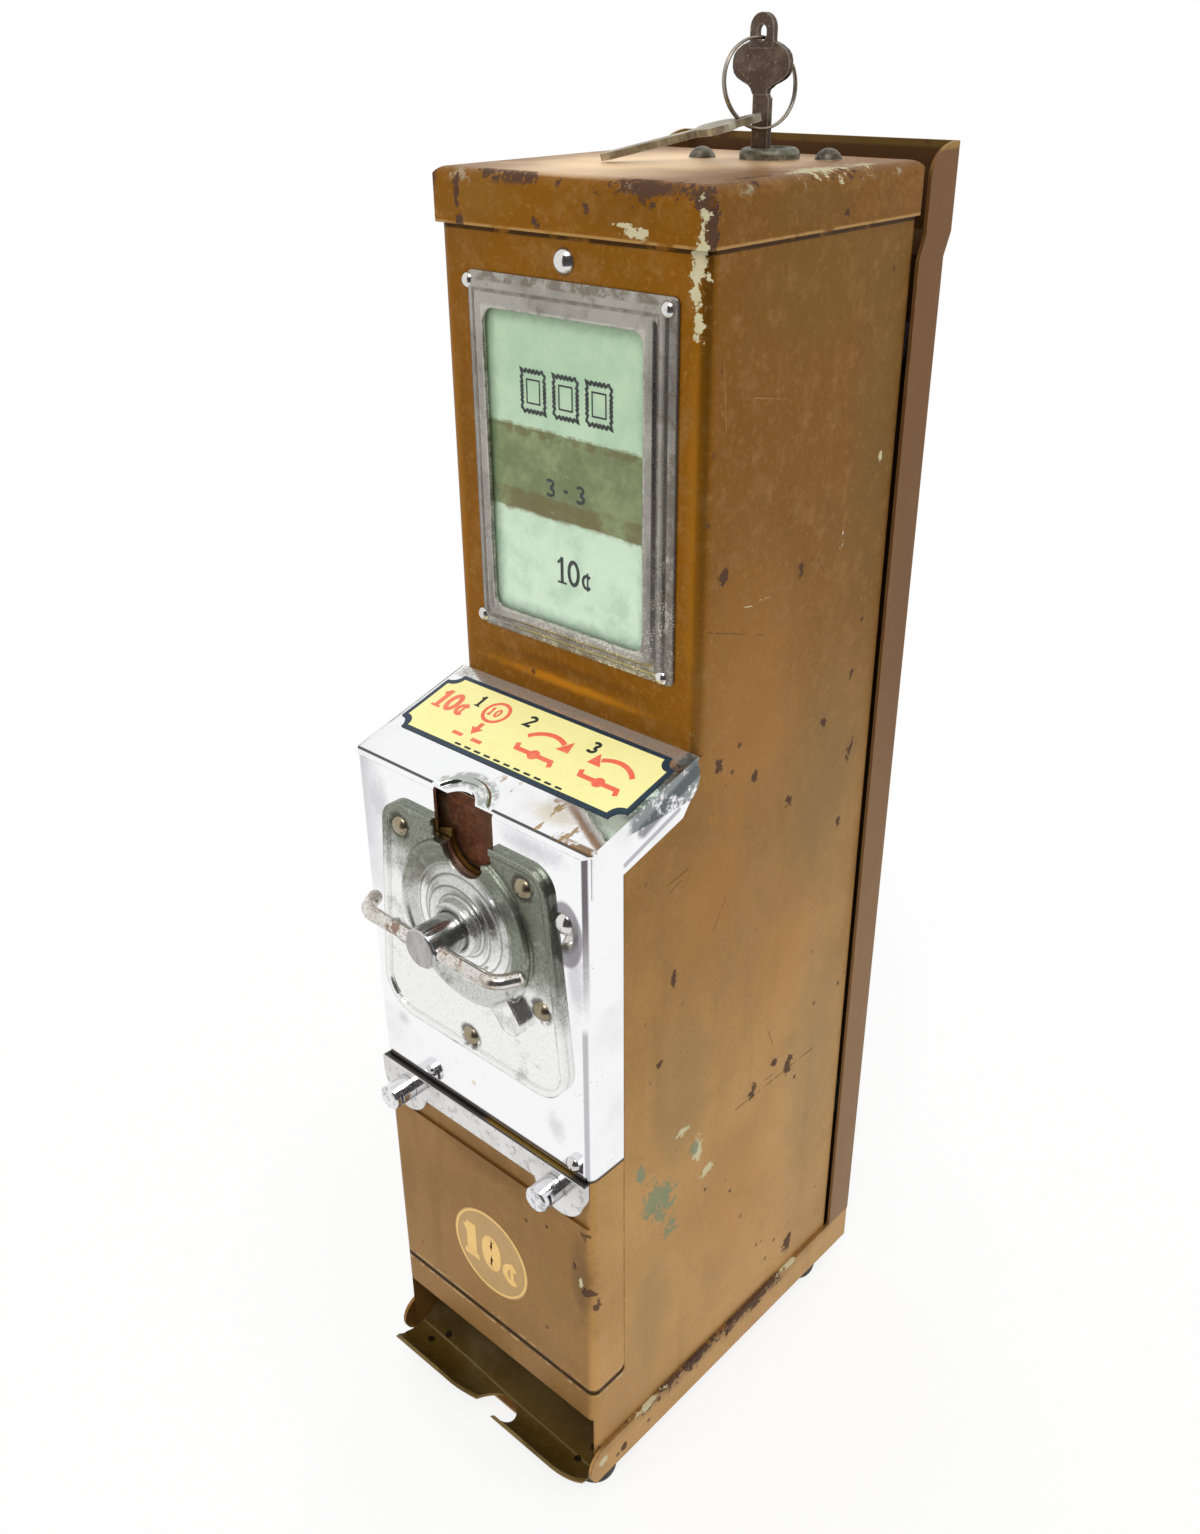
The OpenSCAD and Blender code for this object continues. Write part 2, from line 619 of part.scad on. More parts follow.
module circle_bar(a, b, r) {
    long = norm(b - a);
    translate(a) rotate(atan2(b[1] - a[1], b[0] - a[0])) {
        translate([0, -r]) square([long, 2 * r]);
        circle(r);
        translate([long, 0]) circle(r);
    }
}

module lever_bracket() color("#8f8f80") place() {
    back = lever_x - 3.6;
    difference() {
        across(back - 2.4, back) polygon([[pivot_y - 9, shaft_z - 9], [pivot_y + 9, shaft_z - 9],
            [pivot_y + 16, shelf_z - shelf_t], [pivot_y - 16, shelf_z - shelf_t]]);
        cross_rod(back - 4, back + 1, pivot_y, shaft_z, 3 + run);
    }
    block(back - 13, back - 2.4 + eps, pivot_y - 16, pivot_y + 16, shelf_z - shelf_t - 2.4,
        shelf_z - shelf_t);
}

module lever_pivot() color("#a09a8c") place() {
    back = lever_x - 3.6;
    cross_rod(back - 3, lever_x + lever_t + 3.4, pivot_y, shaft_z, 3);
    cross_rod(lever_x + lever_t + 3.4 - eps, lever_x + lever_t + 5, pivot_y, shaft_z, 4.6);
    cross_rod(back - 4, back - 2.4, pivot_y, shaft_z, 4.6);
}

module magazine_shelf() color("#8a8d8c") place() difference() {
    union() {
        translate([0, 0, shelf_z - shelf_t]) linear_extrude(shelf_t) plan(wall_in,
            shoulder_d + sheet, stack_y + folder_l + 2, inner_r(upper_corner_r) + 0.1, eps);
        for (side = [-wall_in, wall_in - 1.2])
            block(side, side + 1.2, shoulder_d + sheet + 9, stack_y + folder_l + 2, shelf_z - 14,
                shelf_z - eps);
    }
    block(lug_x() - 0.6, lug_x() + lug_t() + 0.6, pivot_y - stroke / 2 - 5.1,
        pivot_y + stroke / 2 + 5.1, shelf_z - 5, shelf_z + 5);
}

function lug_x() = lever_x + lever_t + 0.8;
function lug_t() = 2.6;

module ejector() color("#b9b6ad") place() {
    rest_y = pivot_y - stroke / 2;
    slot_half = drive_pin_r + 0.3;
    low = shaft_z + upper_arm * cos(crank_lean) - 2.4;
    block(-folder_w / 2 + 2, folder_w / 2 - 2, rest_y - 4.2, stack_y - 0.1, shelf_z, shelf_z + 1.3);
    difference() {
        union() {
            block(lug_x(), lug_x() + lug_t(), rest_y - 4.2, rest_y + 4.2, low - 3, shelf_z);
            block(lug_x(), lug_x() + lug_t(), rest_y - 4.2, stack_y - 0.1, shelf_z - 1, shelf_z + 1);
        }
        block(lug_x() - 1, lug_x() + lug_t() + 1, rest_y - slot_half, rest_y + slot_half, low,
            shaft_z + upper_arm + 2.6);
    }
}

module bottom_folder() color("#e4dcc4") place()
    block(-folder_w / 2, folder_w / 2, stack_y, stack_y + folder_l, shelf_z, shelf_z + folder_t);

// The folders above the bottom one, each a little shorter than its neighbour's cover
module folder_stack() color("#e4dcc4") place()
    for (i = [0:folder_count - 1]) {
        slip = 0.5 * (i % 2);
        low = shelf_z + folder_t + 0.3 + i * folder_t;
        block(-folder_w / 2 + slip, folder_w / 2 - slip, stack_y + slip, stack_y + folder_l - slip,
            low, low + folder_t + (i < folder_count - 1 ? eps : 0));
    }

module follower_weight() color("#5d6064") place() {
    low = shelf_z + folder_t + 0.3 + folder_count * folder_t;
    difference() {
        block(-folder_w / 2 + 1, folder_w / 2 - 1, stack_y + 1, stack_y + folder_l - 1, low, low + 12);
        block(-folder_w / 2 + 7, folder_w / 2 - 7, stack_y + 7, stack_y + folder_l - 7, low + 3,
            low + 13);
    }
    translate([0, stack_y + folder_l / 2, low + 3 - eps]) {
        cylinder(r = 3, h = 14);
        translate([0, 0, 14]) sphere(6);
    }
}

// Two upright channels that hold the stack at its sides, front and back
module magazine_rails() color("#8a8d8c") place() {
    wall = 1.2;
    top = case_top - 26;
    in = folder_w / 2 + 0.6;
    for (side = [0, 1]) mirror([side, 0, 0]) {
        block(in, in + wall, stack_y - 1.8, stack_y + folder_l + 1.8, shelf_z, top);
        block(in - 8, in + eps, stack_y - 1.8, stack_y - 0.6, shelf_z + 3.4, top);
        block(in - 8, in + eps, stack_y + folder_l + 0.6, stack_y + folder_l + 1.8, shelf_z + 3.4, top);
        block(in + wall - eps, in + 8, stack_y + 4, stack_y + folder_l - 4, shelf_z, shelf_z + wall);
    }
}

// Drop shaft behind the magazine that turns forward under the drawer
module folder_chute() color("#94937f") place() {
    in_y = chute_front;
    out_y = case_rear - sheet - 1.2;
    wall = 1;
    turn_z = 76;
    top = shelf_z - 16;
    in_r = 16;
    out_r = 46;
    passage = concat([[out_y, top + 9], [out_y, turn_z]],
        arc([out_y - out_r, turn_z], out_r, 0, -86, 12),
        [[16.8, 22.6], [16.8, 41.5]],
        arc([in_y - in_r, turn_z - 6], in_r, -90, 0, 8), [[in_y, top]]);
    difference() {
        across(-chute_half - wall, chute_half + wall) polygon(concat(
            [[out_y + wall, top + 9], [out_y + wall, turn_z]],
            arc([out_y - out_r, turn_z], out_r + wall, 0, -86, 12),
            [[16.8, 22.6 - wall], [16.8, 41.5 + wall]],
            arc([in_y - in_r, turn_z - 6], in_r - wall, -90, 0, 8), [[in_y - wall, top]]));
        across(-chute_half, chute_half) polygon(concat(passage, [[in_y, top + 20], [out_y, top + 20]]));
        across(-chute_half, chute_half) polygon([[10, 22.6], [17, 22.6], [17, 41.5], [10, 41.5]]);
    }
}

module coin_chute() color("#94937f") place() {
    wall = 0.9;
    x0 = 21;
    x1 = 40.5;
    y0 = sheet;
    y1 = sheet + coin_t + 5.6;
    low = knob_z + 16;
    top = shaft_z - 54;
    difference() {
        block(x0, x1, y0, y1, low, top);
        block(x0 + wall, x1 - wall, y0 + wall, y1 - wall, low - 1, top + 1);
    }
}

// Half-round trough whose front edge curls up, notched for the thumb
module delivery_tray() color("#4f4634") place() {
    wall = 1.2;
    mid = [1.4, seat_z + trough_r + wall + 0.1];
    end = wall_in - 0.2;
    lip_z = mid[1] - 4.4;
    difference() {
        across(-end, end) polygon(concat(
            arc(mid, trough_r + wall, -162, -12, 26), arc(mid, trough_r, -12, -162, 26)));
        translate([4, -6.5, 0]) cylinder(r = notch_r, h = 60);
        facing(-4, 20) polygon(concat([[-end - 1, 60], [-end - 1, lip_z - 9]],
            arc([-end + 8.6, lip_z - 8], 8, 180, 90, 6),
            [[-21, lip_z], [-16, lip_z - 1.9], [-12, lip_z - 4.4], [-8, lip_z - 6.6],
                [-4, lip_z - 8], [4, lip_z - 8], [4, lip_z], [24, lip_z], [34, lip_z - 0.8],
                [40, lip_z - 3], [45, lip_z - 6.4], [end + 1, lip_z - 10], [end + 1, 60]]));
    }
}

module drawer_runners() color("#8a8d8c") place()
    for (side = [0, 1]) mirror([side, 0, 0]) {
        block(runner_x, wall_in, flange_d + 2, case_rear - 11, box_z - 1.3, box_z - 0.1);
        block(wall_in - 1.2, wall_in, flange_d + 2, case_rear - 11, box_z - 12, box_z - 0.1);
    }

module drawer_front() color("#97692c") place() difference() {
    union() {
        difference() {
            translate([0, 0, drawer_z]) linear_extrude(drawer_top_z - drawer_z)
                plan(half_w, 0, flange_d, lower_corner_r, eps);
            translate([0, 0, drawer_z - 1]) linear_extrude(drawer_top_z)
                plan(half_w - sheet, sheet, flange_d + 2, inner_r(lower_corner_r), eps);
        }
        block(-half_w + 4, half_w - 4, sheet - eps, sheet + knob_y, strap_low() - 4, drawer_top_z);
    }
    block(-half_w - 1, half_w + 1, -1, knob_y, strap_low() - 3, drawer_top_z + 1);
    for (side = [-1, 1]) {
        rod(side * knob_x, 10, knob_z, 3 + run, 14);
        translate([side * half_w, flange_d, drawer_z]) rotate([0, 90, 0])
            cylinder(r = 2.2, h = 8, center = true, $fn = 4);
    }
}

function strap_low() = knob_z - 10.4;

// Flat strap that widens into a round lobe under each knob
module latch_strap() color("#cfcac0") place() difference() {
    facing(knob_y, strap_t) intersection() {
        union() {
            translate([-knob_x, drawer_top_z - 9]) square([2 * knob_x, 9]);
            for (side = [-1, 1]) {
                translate([side * (knob_x + 1.6), knob_z + 1]) circle(11.4);
                translate([side * (knob_x + 1.6) - 11.4, knob_z + 1]) square([22.8, 8]);
            }
        }
        translate([-half_w, 0]) square([case_w, drawer_top_z]);
    }
    for (side = [-1, 1]) rod(side * knob_x, 10, knob_z, 3 + run, 20);
}

module left_latch_knob() color("#b3aba0") place() latch_knob(-knob_x, 0);
module right_latch_knob() color("#b3aba0") place() latch_knob(knob_x, 180);

// Cylinder with a cross kerf behind its face, a stem through the strap and a cam behind it
module latch_knob(x, cam_turn) {
    face = knob_y - strap_t - 0.1;
    translate([x, 0, knob_z]) {
        difference() {
            turned(0, face, 0) polygon([[0, 0], [knob_r, 0], [knob_r, knob_out - 0.6],
                [knob_r - 0.6, knob_out], [0, knob_out]]);
            translate([0, face - knob_out + 2.2, 0]) rotate([0, 45, 0])
                block(0.6, 10, 0, 1.2, -10, 10);
        }
        rod(0, 5.6, 0, 3, 5.6 - face + eps);
        translate([0, 5.6, 0]) rotate([90, cam_turn, 0]) linear_extrude(2) {
            circle(4.6);
            translate([0, -3.4]) square([11.4, 6.8]);
        }
    }
}

module coin_box() color("#8a8d8c") place() {
    wall = 1;
    y0 = sheet + knob_y;
    difference() {
        block(-box_half, box_half, y0, y0 + box_l, box_z, box_z + box_h);
        block(-box_half + wall, box_half - wall, y0 + wall, y0 + box_l - wall, box_z + wall,
            box_z + box_h + 1);
    }
}

// Sheet-metal cap with round top edges over a hollow of the same shape
module cap() color("#8a5d1e") place() difference() {
    cap_block(cap_gap + cap_wall(), cap_top_z - cap_skirt_h, cap_top_z, cap_corner_r, cap_edge_r);
    cap_block(cap_gap, cap_top_z - cap_skirt_h - 1, cap_top_z - sheet, cap_corner_r - cap_wall(),
        cap_edge_r - cap_wall());
    translate([lock_x, lock_y, cap_top_z - 20]) cylinder(r = lock_body_r + run, h = 40);
    for (spot = rivet_spots) translate(concat(rivet_at(spot), [cap_top_z - 20]))
        cylinder(r = screw_r + run, h = 40);
}

function cap_wall() = 1;

// A block round the upper box, larger by grow, with its top edges rounded
module cap_block(grow, low, top, corner_r, edge_r) {
    side = half_w + grow;
    front = shoulder_d - grow;
    rear = case_rear + grow;
    intersection() {
        translate([0, 0, low]) linear_extrude(top - low) plan(side, front, rear, corner_r, corner_r);
        facing(rear + 1, rear - front + 2) round_top(-side, side, low - 1, top, edge_r);
        across(-side - 1, side + 1) round_top(front, rear, low - 1, top, edge_r);
    }
}

// Upright drawing from a to b with its two top corners rounded
module round_top(a, b, low, high, r) {
    translate([a, low]) square([b - a, high - r - low]);
    translate([a + r, low]) square([b - a - 2 * r, high - low]);
    for (u = [a + r, b - r]) translate([u, high - r]) circle(r);
}

module cap_rivets() color("#7c7a70") place()
    for (spot = rivet_spots) translate(concat(rivet_at(spot), [cap_top_z])) {
        rotate_extrude() dome_profile(cap_rivet_r, 3.1);
        translate([0, 0, -sheet - 4]) cylinder(r = screw_r, h = sheet + 4 + eps);
        translate([0, 0, -sheet - 4]) cylinder(r = 2.7, h = 1.4);
    }

module lock_body() color("#8a8672") place() translate([lock_x, lock_y, cap_top_z]) rotate_extrude()
    polygon(concat([[plug_r + run, -20], [plug_r + run, 2.2], [plug_r + 0.7, 2.9]],
        arc([lock_ring_r - 2, 1.1], 2, 90, 0, 6),
        [[lock_ring_r, 0], [lock_body_r, 0], [lock_body_r, -20]]));

module lock_plate() color("#8a8d8c") place() difference() {
    translate([0, 0, cap_top_z - sheet - 2.4]) linear_extrude(2.35) hull()
        for (spot = rivet_spots) translate(rivet_at(spot)) circle(4, $fn = 32);
    translate([lock_x, lock_y, cap_top_z - 20]) cylinder(r = lock_body_r + run, h = 40);
    for (spot = rivet_spots) translate(concat(rivet_at(spot), [cap_top_z - 20]))
        cylinder(r = screw_r + run, h = 40);
}

module lock_plug() color("#6f6a5e") place() translate([lock_x, lock_y, cap_top_z]) difference() {
    union() {
        translate([0, 0, -23]) cylinder(r = plug_r, h = 23 + 3 - plug_recess);
        translate([0, 0, -27]) cylinder(r = 3, h = 4 + eps);
    }
    block(-plug_r - 1, key_shift + key_half() + 0.1, -key_front - key_t() / 2 - 0.1,
        key_t() / 2 + 0.1 - key_front, -19.5, 3);
}

function key_half() = 2.85;
function key_t() = 2;

// Flat cam on the tail of the plug; a quarter turn puts it under the catch
module lock_cam() color("#8d8a84") place() translate([lock_x, lock_y, cap_top_z - 25.5]) difference() {
    linear_extrude(2.4) {
        circle(6);
        circle_bar([0, 0], [lock_from_rear - sheet - 5.5, 0], 4);
    }
    translate([0, 0, -1]) cylinder(r = 3.02, h = 5);
}

module lock_catch() color("#8a8d8c") place() {
    low = cap_top_z - 22.6;
    block(lock_x - 9, lock_x + 9, case_rear - sheet - 8.6, case_rear - sheet, low, low + 1.5);
    block(lock_x - 9, lock_x + 9, case_rear - sheet - 1.5, case_rear - sheet, low - 14, low + eps);
}

// Key outline about the middle of its loop, blade downwards
module key_outline(blade) difference() {
    union() {
        circle(4.15);
        translate([-4.15, -5]) square([8.3, 5]);
        polygon(concat([for (p = bow_edge) p],
            [for (i = [len(bow_edge) - 1:-1:0]) [-bow_edge[i][0], bow_edge[i][1]]]));
        translate([blade_off - key_half(), -18 - blade]) square([2 * key_half(), 6 + blade]);
        polygon([[blade_off - key_half(), -18 - blade], [blade_off, -20.4 - blade],
            [blade_off + key_half(), -18 - blade]]);
    }
    translate([0, -0.6]) circle(1.65);
    translate([0, -1.6]) circle(1.65);
    translate([-1.65, -1.6]) square([3.3, 1]);
    translate([blade_off + key_half() + 0.6, -16.6]) circle(r = 1.5, $fn = 10);
}

bow_edge = [[4.15, -3.2], [6.6, -4.1], [8.6, -5.4], [9.6, -6.6], [10.05, -8.1], [10.05, -10.1],
    [9.5, -11.6], [8.2, -12.8], [6.4, -13.7], [4.4, -14.5], [3.4, -15.4], [2.6, -17]];
blade_off = 0.5;
blade_l = 23;

function loop_z() = cap_top_z + 34;

module key() color("#5a4a42") place()
    translate([lock_x + key_shift - blade_off, lock_y - key_front + key_t() / 2, loop_z()])
        rotate([90, 0, 0]) linear_extrude(key_t()) difference() {
            key_outline(blade_l);
            for (i = [0:3]) translate([blade_off + key_half() + 0.3, -37 - 2.6 * i])
                circle(r = 1.1, $fn = 6);
        }

ring_r = 12;
ring_wire = 0.6;
ring_turn = -21.5;
ring_tilt = 9.9;
ring_swing = -7.1;
spare_shift = [-2.6, -9.8, 10.45];
spare_turn = -45;
spare_pitch = 12.5;

// Turns and moves a child from the ring's own frame, hung at the loop of the key
module hang() translate([lock_x + key_shift - blade_off - 0.1, lock_y - key_front - 0.4,
    loop_z() - 3.25 + ring_wire + 0.52]) rotate([0, 0, ring_turn]) rotate([0, -ring_tilt, 0])
    rotate([ring_swing, 0, 0]) children();

module key_ring() color("#8d8478") place() hang() translate([0, 0, -ring_r]) rotate([0, 90, 0])
    rotate_extrude() translate([ring_r, 0]) circle(r = ring_wire, $fn = 24);

module spare_key() color("#a39a88") place()
    translate([lock_x, lock_y, cap_top_z] + spare_shift) rotate([spare_pitch, 0, spare_turn])
        translate([0, 1, -key_t() / 2]) linear_extrude(key_t()) key_outline(blade_l);

case_shell();
base_pan();
rubber_feet();
back_channel();
rear_spacers();
channel_screws();
window_frame();
window_glass();
display_card();
window_screws();
sign_screw();
shoulder_plate();
front_plate();
front_plate_screws();
coin_plate();
coin_plate_rivets();
wheel_housing();
shaft_bush();
coin_chute();
lever_bracket();
lever_pivot();
magazine_shelf();
magazine_rails();
folder_stack();
follower_weight();
folder_chute();
delivery_tray();
drawer_runners();
lock_catch();
handle_shaft();
handle_bar();
coin_wheel();
crank_disc();
shaft_nut();
bell_crank();
ejector();
bottom_folder();
cap();
cap_rivets();
lock_body();
lock_plate();
lock_plug();
lock_cam();
key();
key_ring();
spare_key();
drawer_front();
coin_box();
latch_strap();
left_latch_knob();
right_latch_knob();
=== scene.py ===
import math

import bmesh
import bpy
import numpy as np
from mathutils import Matrix, Vector


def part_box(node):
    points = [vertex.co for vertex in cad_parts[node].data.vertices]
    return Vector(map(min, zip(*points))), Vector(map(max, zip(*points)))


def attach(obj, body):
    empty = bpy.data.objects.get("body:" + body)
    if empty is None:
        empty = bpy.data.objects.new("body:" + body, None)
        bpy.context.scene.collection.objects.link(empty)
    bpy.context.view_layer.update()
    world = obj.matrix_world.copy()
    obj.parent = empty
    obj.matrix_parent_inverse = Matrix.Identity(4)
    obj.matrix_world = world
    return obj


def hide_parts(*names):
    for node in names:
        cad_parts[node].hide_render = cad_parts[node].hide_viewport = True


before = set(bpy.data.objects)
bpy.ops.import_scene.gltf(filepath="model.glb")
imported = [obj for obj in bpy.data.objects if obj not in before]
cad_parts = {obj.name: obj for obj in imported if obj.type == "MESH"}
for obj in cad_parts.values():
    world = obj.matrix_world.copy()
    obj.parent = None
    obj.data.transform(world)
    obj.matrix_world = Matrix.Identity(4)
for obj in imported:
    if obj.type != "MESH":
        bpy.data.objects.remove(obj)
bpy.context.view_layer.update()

# Sizes below are in millimetres: x to the right, y back from the lower front, z up from the floor.
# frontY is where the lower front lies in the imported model's own frame.
mm = 0.001
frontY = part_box("drawer_front")[0][1]


def linear(code):
    # a web colour as the linear numbers that a shader wants
    parts = [int(code[i:i + 2], 16) / 255 for i in (1, 3, 5)]
    return tuple(c / 12.92 if c <= 0.04045 else ((c + 0.055) / 1.055) ** 2.4 for c in parts) + (1.0,)


def addNode(tree, kind, settings=None, sockets=None, out=0):
    # a node with its settings, then the numbers or links of its sockets; gives back one of its outputs
    made = tree.nodes.new(kind)
    for key, value in (settings or {}).items():
        setattr(made, key, value)
    for key, value in (sockets or {}).items():
        plug(tree, made.inputs[key], value)
    return made.outputs[out]


def plug(tree, socket, value):
    # a number or colour is set on the socket, a wire or an output is linked to it
    value = getattr(value, "socket", value)
    if isinstance(value, bpy.types.NodeSocket):
        tree.links.new(value, socket)
    else:
        socket.default_value = value


class Wire:
    # one output of a node; sums and comparisons of wires add the Math nodes that they stand for

    def __init__(self, finish, socket):
        self.finish, self.socket = finish, socket

    def math(self, operation, first, second=0.0):
        return self.finish.node("ShaderNodeMath", {"operation": operation}, {0: first, 1: second})

    def __add__(self, other):
        return self.math("ADD", self, other)

    def __radd__(self, other):
        return self.math("ADD", other, self)

    def __sub__(self, other):
        return self.math("SUBTRACT", self, other)

    def __rsub__(self, other):
        return self.math("SUBTRACT", other, self)

    def __mul__(self, other):
        return self.math("MULTIPLY", self, other)

    def __rmul__(self, other):
        return self.math("MULTIPLY", other, self)

    def __pow__(self, other):
        return self.math("POWER", self, other)

    def __abs__(self):
        return self.math("ABSOLUTE", self)

    def least(self, other):
        return self.math("MINIMUM", self, other)

    def most(self, other):
        return self.math("MAXIMUM", self, other)


class Finish:
    # one material: node() adds nodes, tint() lays colours over its base, feed() sets its shader's sockets
    names = dict(base="Base Color", rough="Roughness", metal="Metallic", normal="Normal", ior="IOR",
                 level="Specular IOR Level")

    def __init__(self, name, base=None):
        self.material = bpy.data.materials.new(name)
        self.material.use_nodes = True
        self.tree = self.material.node_tree
        self.shader = self.tree.nodes["Principled BSDF"]
        self.base = base and linear(base)
        self.place = self.node("ShaderNodeTexCoord", out=3)
        self.x, self.y, self.z = (
            (self.node("ShaderNodeSeparateXYZ", sockets={0: self.place}, out=k) - start) * (1 / mm)
            for k, start in enumerate((0.0, frontY, 0.0)))

    def node(self, kind, settings=None, sockets=None, out=0):
        return Wire(self, addNode(self.tree, kind, settings, sockets, out))

    def feed(self, **sockets):
        for key, value in {"base": self.base, **sockets}.items():
            plug(self.tree, self.shader.inputs[self.names[key]], value)
        return self

    def tint(self, mask, code):
        self.base = self.mix(mask, self.base, linear(code))

    def noise(self, scale, detail=3.0, rough=0.55, stretch=(1, 1, 1), shift=0.0):
        # cloudy pattern from 0 to 1, with scale in cycles to the metre
        at = self.node("ShaderNodeMapping", None, {"Vector": self.place, "Scale": stretch, "Location": (shift,) * 3})
        return self.node("ShaderNodeTexNoise", None, {
            "Vector": at, "Scale": scale, "Detail": detail, "Roughness": rough})

    def cells(self, scale, shift):
        # distance to the nearest of many scattered points
        at = self.node("ShaderNodeMapping", None, {"Vector": self.place, "Location": (shift,) * 3})
        return self.node("ShaderNodeTexVoronoi", None, {"Vector": at, "Scale": scale})

    def rise(self, value, low, high):
        # smooth step from 0 at low to 1 at high
        return self.node("ShaderNodeMapRange", {"interpolation_type": "SMOOTHSTEP"},
                         {0: value, 1: low, 2: high, 3: 0.0, 4: 1.0})

    def patches(self, low, high, scale, detail=3.0, rough=0.55, **more):
        # cloudy patches: the noise stepped from low to high
        return self.rise(self.noise(scale, detail, rough, **more), low, high)

    def band(self, value, low, high, soft):
        # 1 between low and high, falling to 0 over the soft width
        return self.rise(value, low - soft, low) * (1 - self.rise(value, high, high + soft))

    def mix(self, amount, first, second):
        return self.node("ShaderNodeMix", {"data_type": "RGBA"}, {0: amount, 6: first, 7: second}, out=2)

    def vector(self, operation, first, second=(0, 0, 0), out=0):
        return self.node("ShaderNodeVectorMath", {"operation": operation}, {0: first, 1: second}, out)

    def rounded(self, radius):
        # the normal that the surface would have with its edges rounded
        return self.node("ShaderNodeBevel", {"samples": 6}, {"Radius": radius * mm})

    def edges(self, radius, low, high):
        # where the surface turns within the radius: 1 on an edge, 0 on a flat
        own = self.node("ShaderNodeNewGeometry", out=1)
        return self.rise(1 - self.vector("DOT_PRODUCT", self.rounded(radius), own, 1), low, high)

    def spot(self, at, radius, ragged=None, raggedness=0.8, squash=(1, 1, 1), sharp=0.93):
        # a ragged round patch about a point given in millimetres
        away = self.vector("SUBTRACT", self.place, (at[0] * mm, at[1] * mm + frontY, at[2] * mm))
        far = self.vector("LENGTH", self.vector("MULTIPLY", away, squash), out=1) * (1 / (radius * mm))
        if ragged is not None:
            far = far + (ragged - 0.5) * (2 * raggedness)
        return 1 - self.rise(far, sharp, 1.0)

    def off(self, x, z, wide=1.0):
        # distance from an upright point, with the way across stretched
        return (((self.x - x) * wide) ** 2.0 + (self.z - z) ** 2.0) ** 0.5

    def line(self, a, b, start, stop, width):
        # a scratch: near the straight line between two points of the a, b drawing
        run, climb = stop[0] - start[0], stop[1] - start[1]
        long = run * run + climb * climb
        along = ((a - start[0]) * (run / long) + (b - start[1]) * (climb / long)).most(0.0).least(1.0)
        off = ((a - start[0] - along * run) ** 2.0 + (b - start[1] - along * climb) ** 2.0) ** 0.5
        return 1 - self.rise(off, width * 0.4, width)

    def bump(self, height, distance, strength=1.0, after=None):
        sockets = {"Height": height, "Distance": distance * mm, "Strength": strength}
        if after is not None:
            sockets["Normal"] = after
        return self.node("ShaderNodeBump", None, sockets)


bronze = dict(
    frontHigh="#8a570b", frontLow="#98703c", sideHigh="#7e5216", sideLow="#bc9258", patch="#b08a58", shade="#62400f",
    mottle="#7a6434", dust="#c49a5c", pore="#5a3c14", worn="#503a30", bright="#b9935a", gapShade="#33230f",
    lipHighlight="#c8ab78", litTop="#fddcae", rubbed="#a39a80", primer="#c2bb98", bare="#46322a", green="#7d8468", metal=0.72)


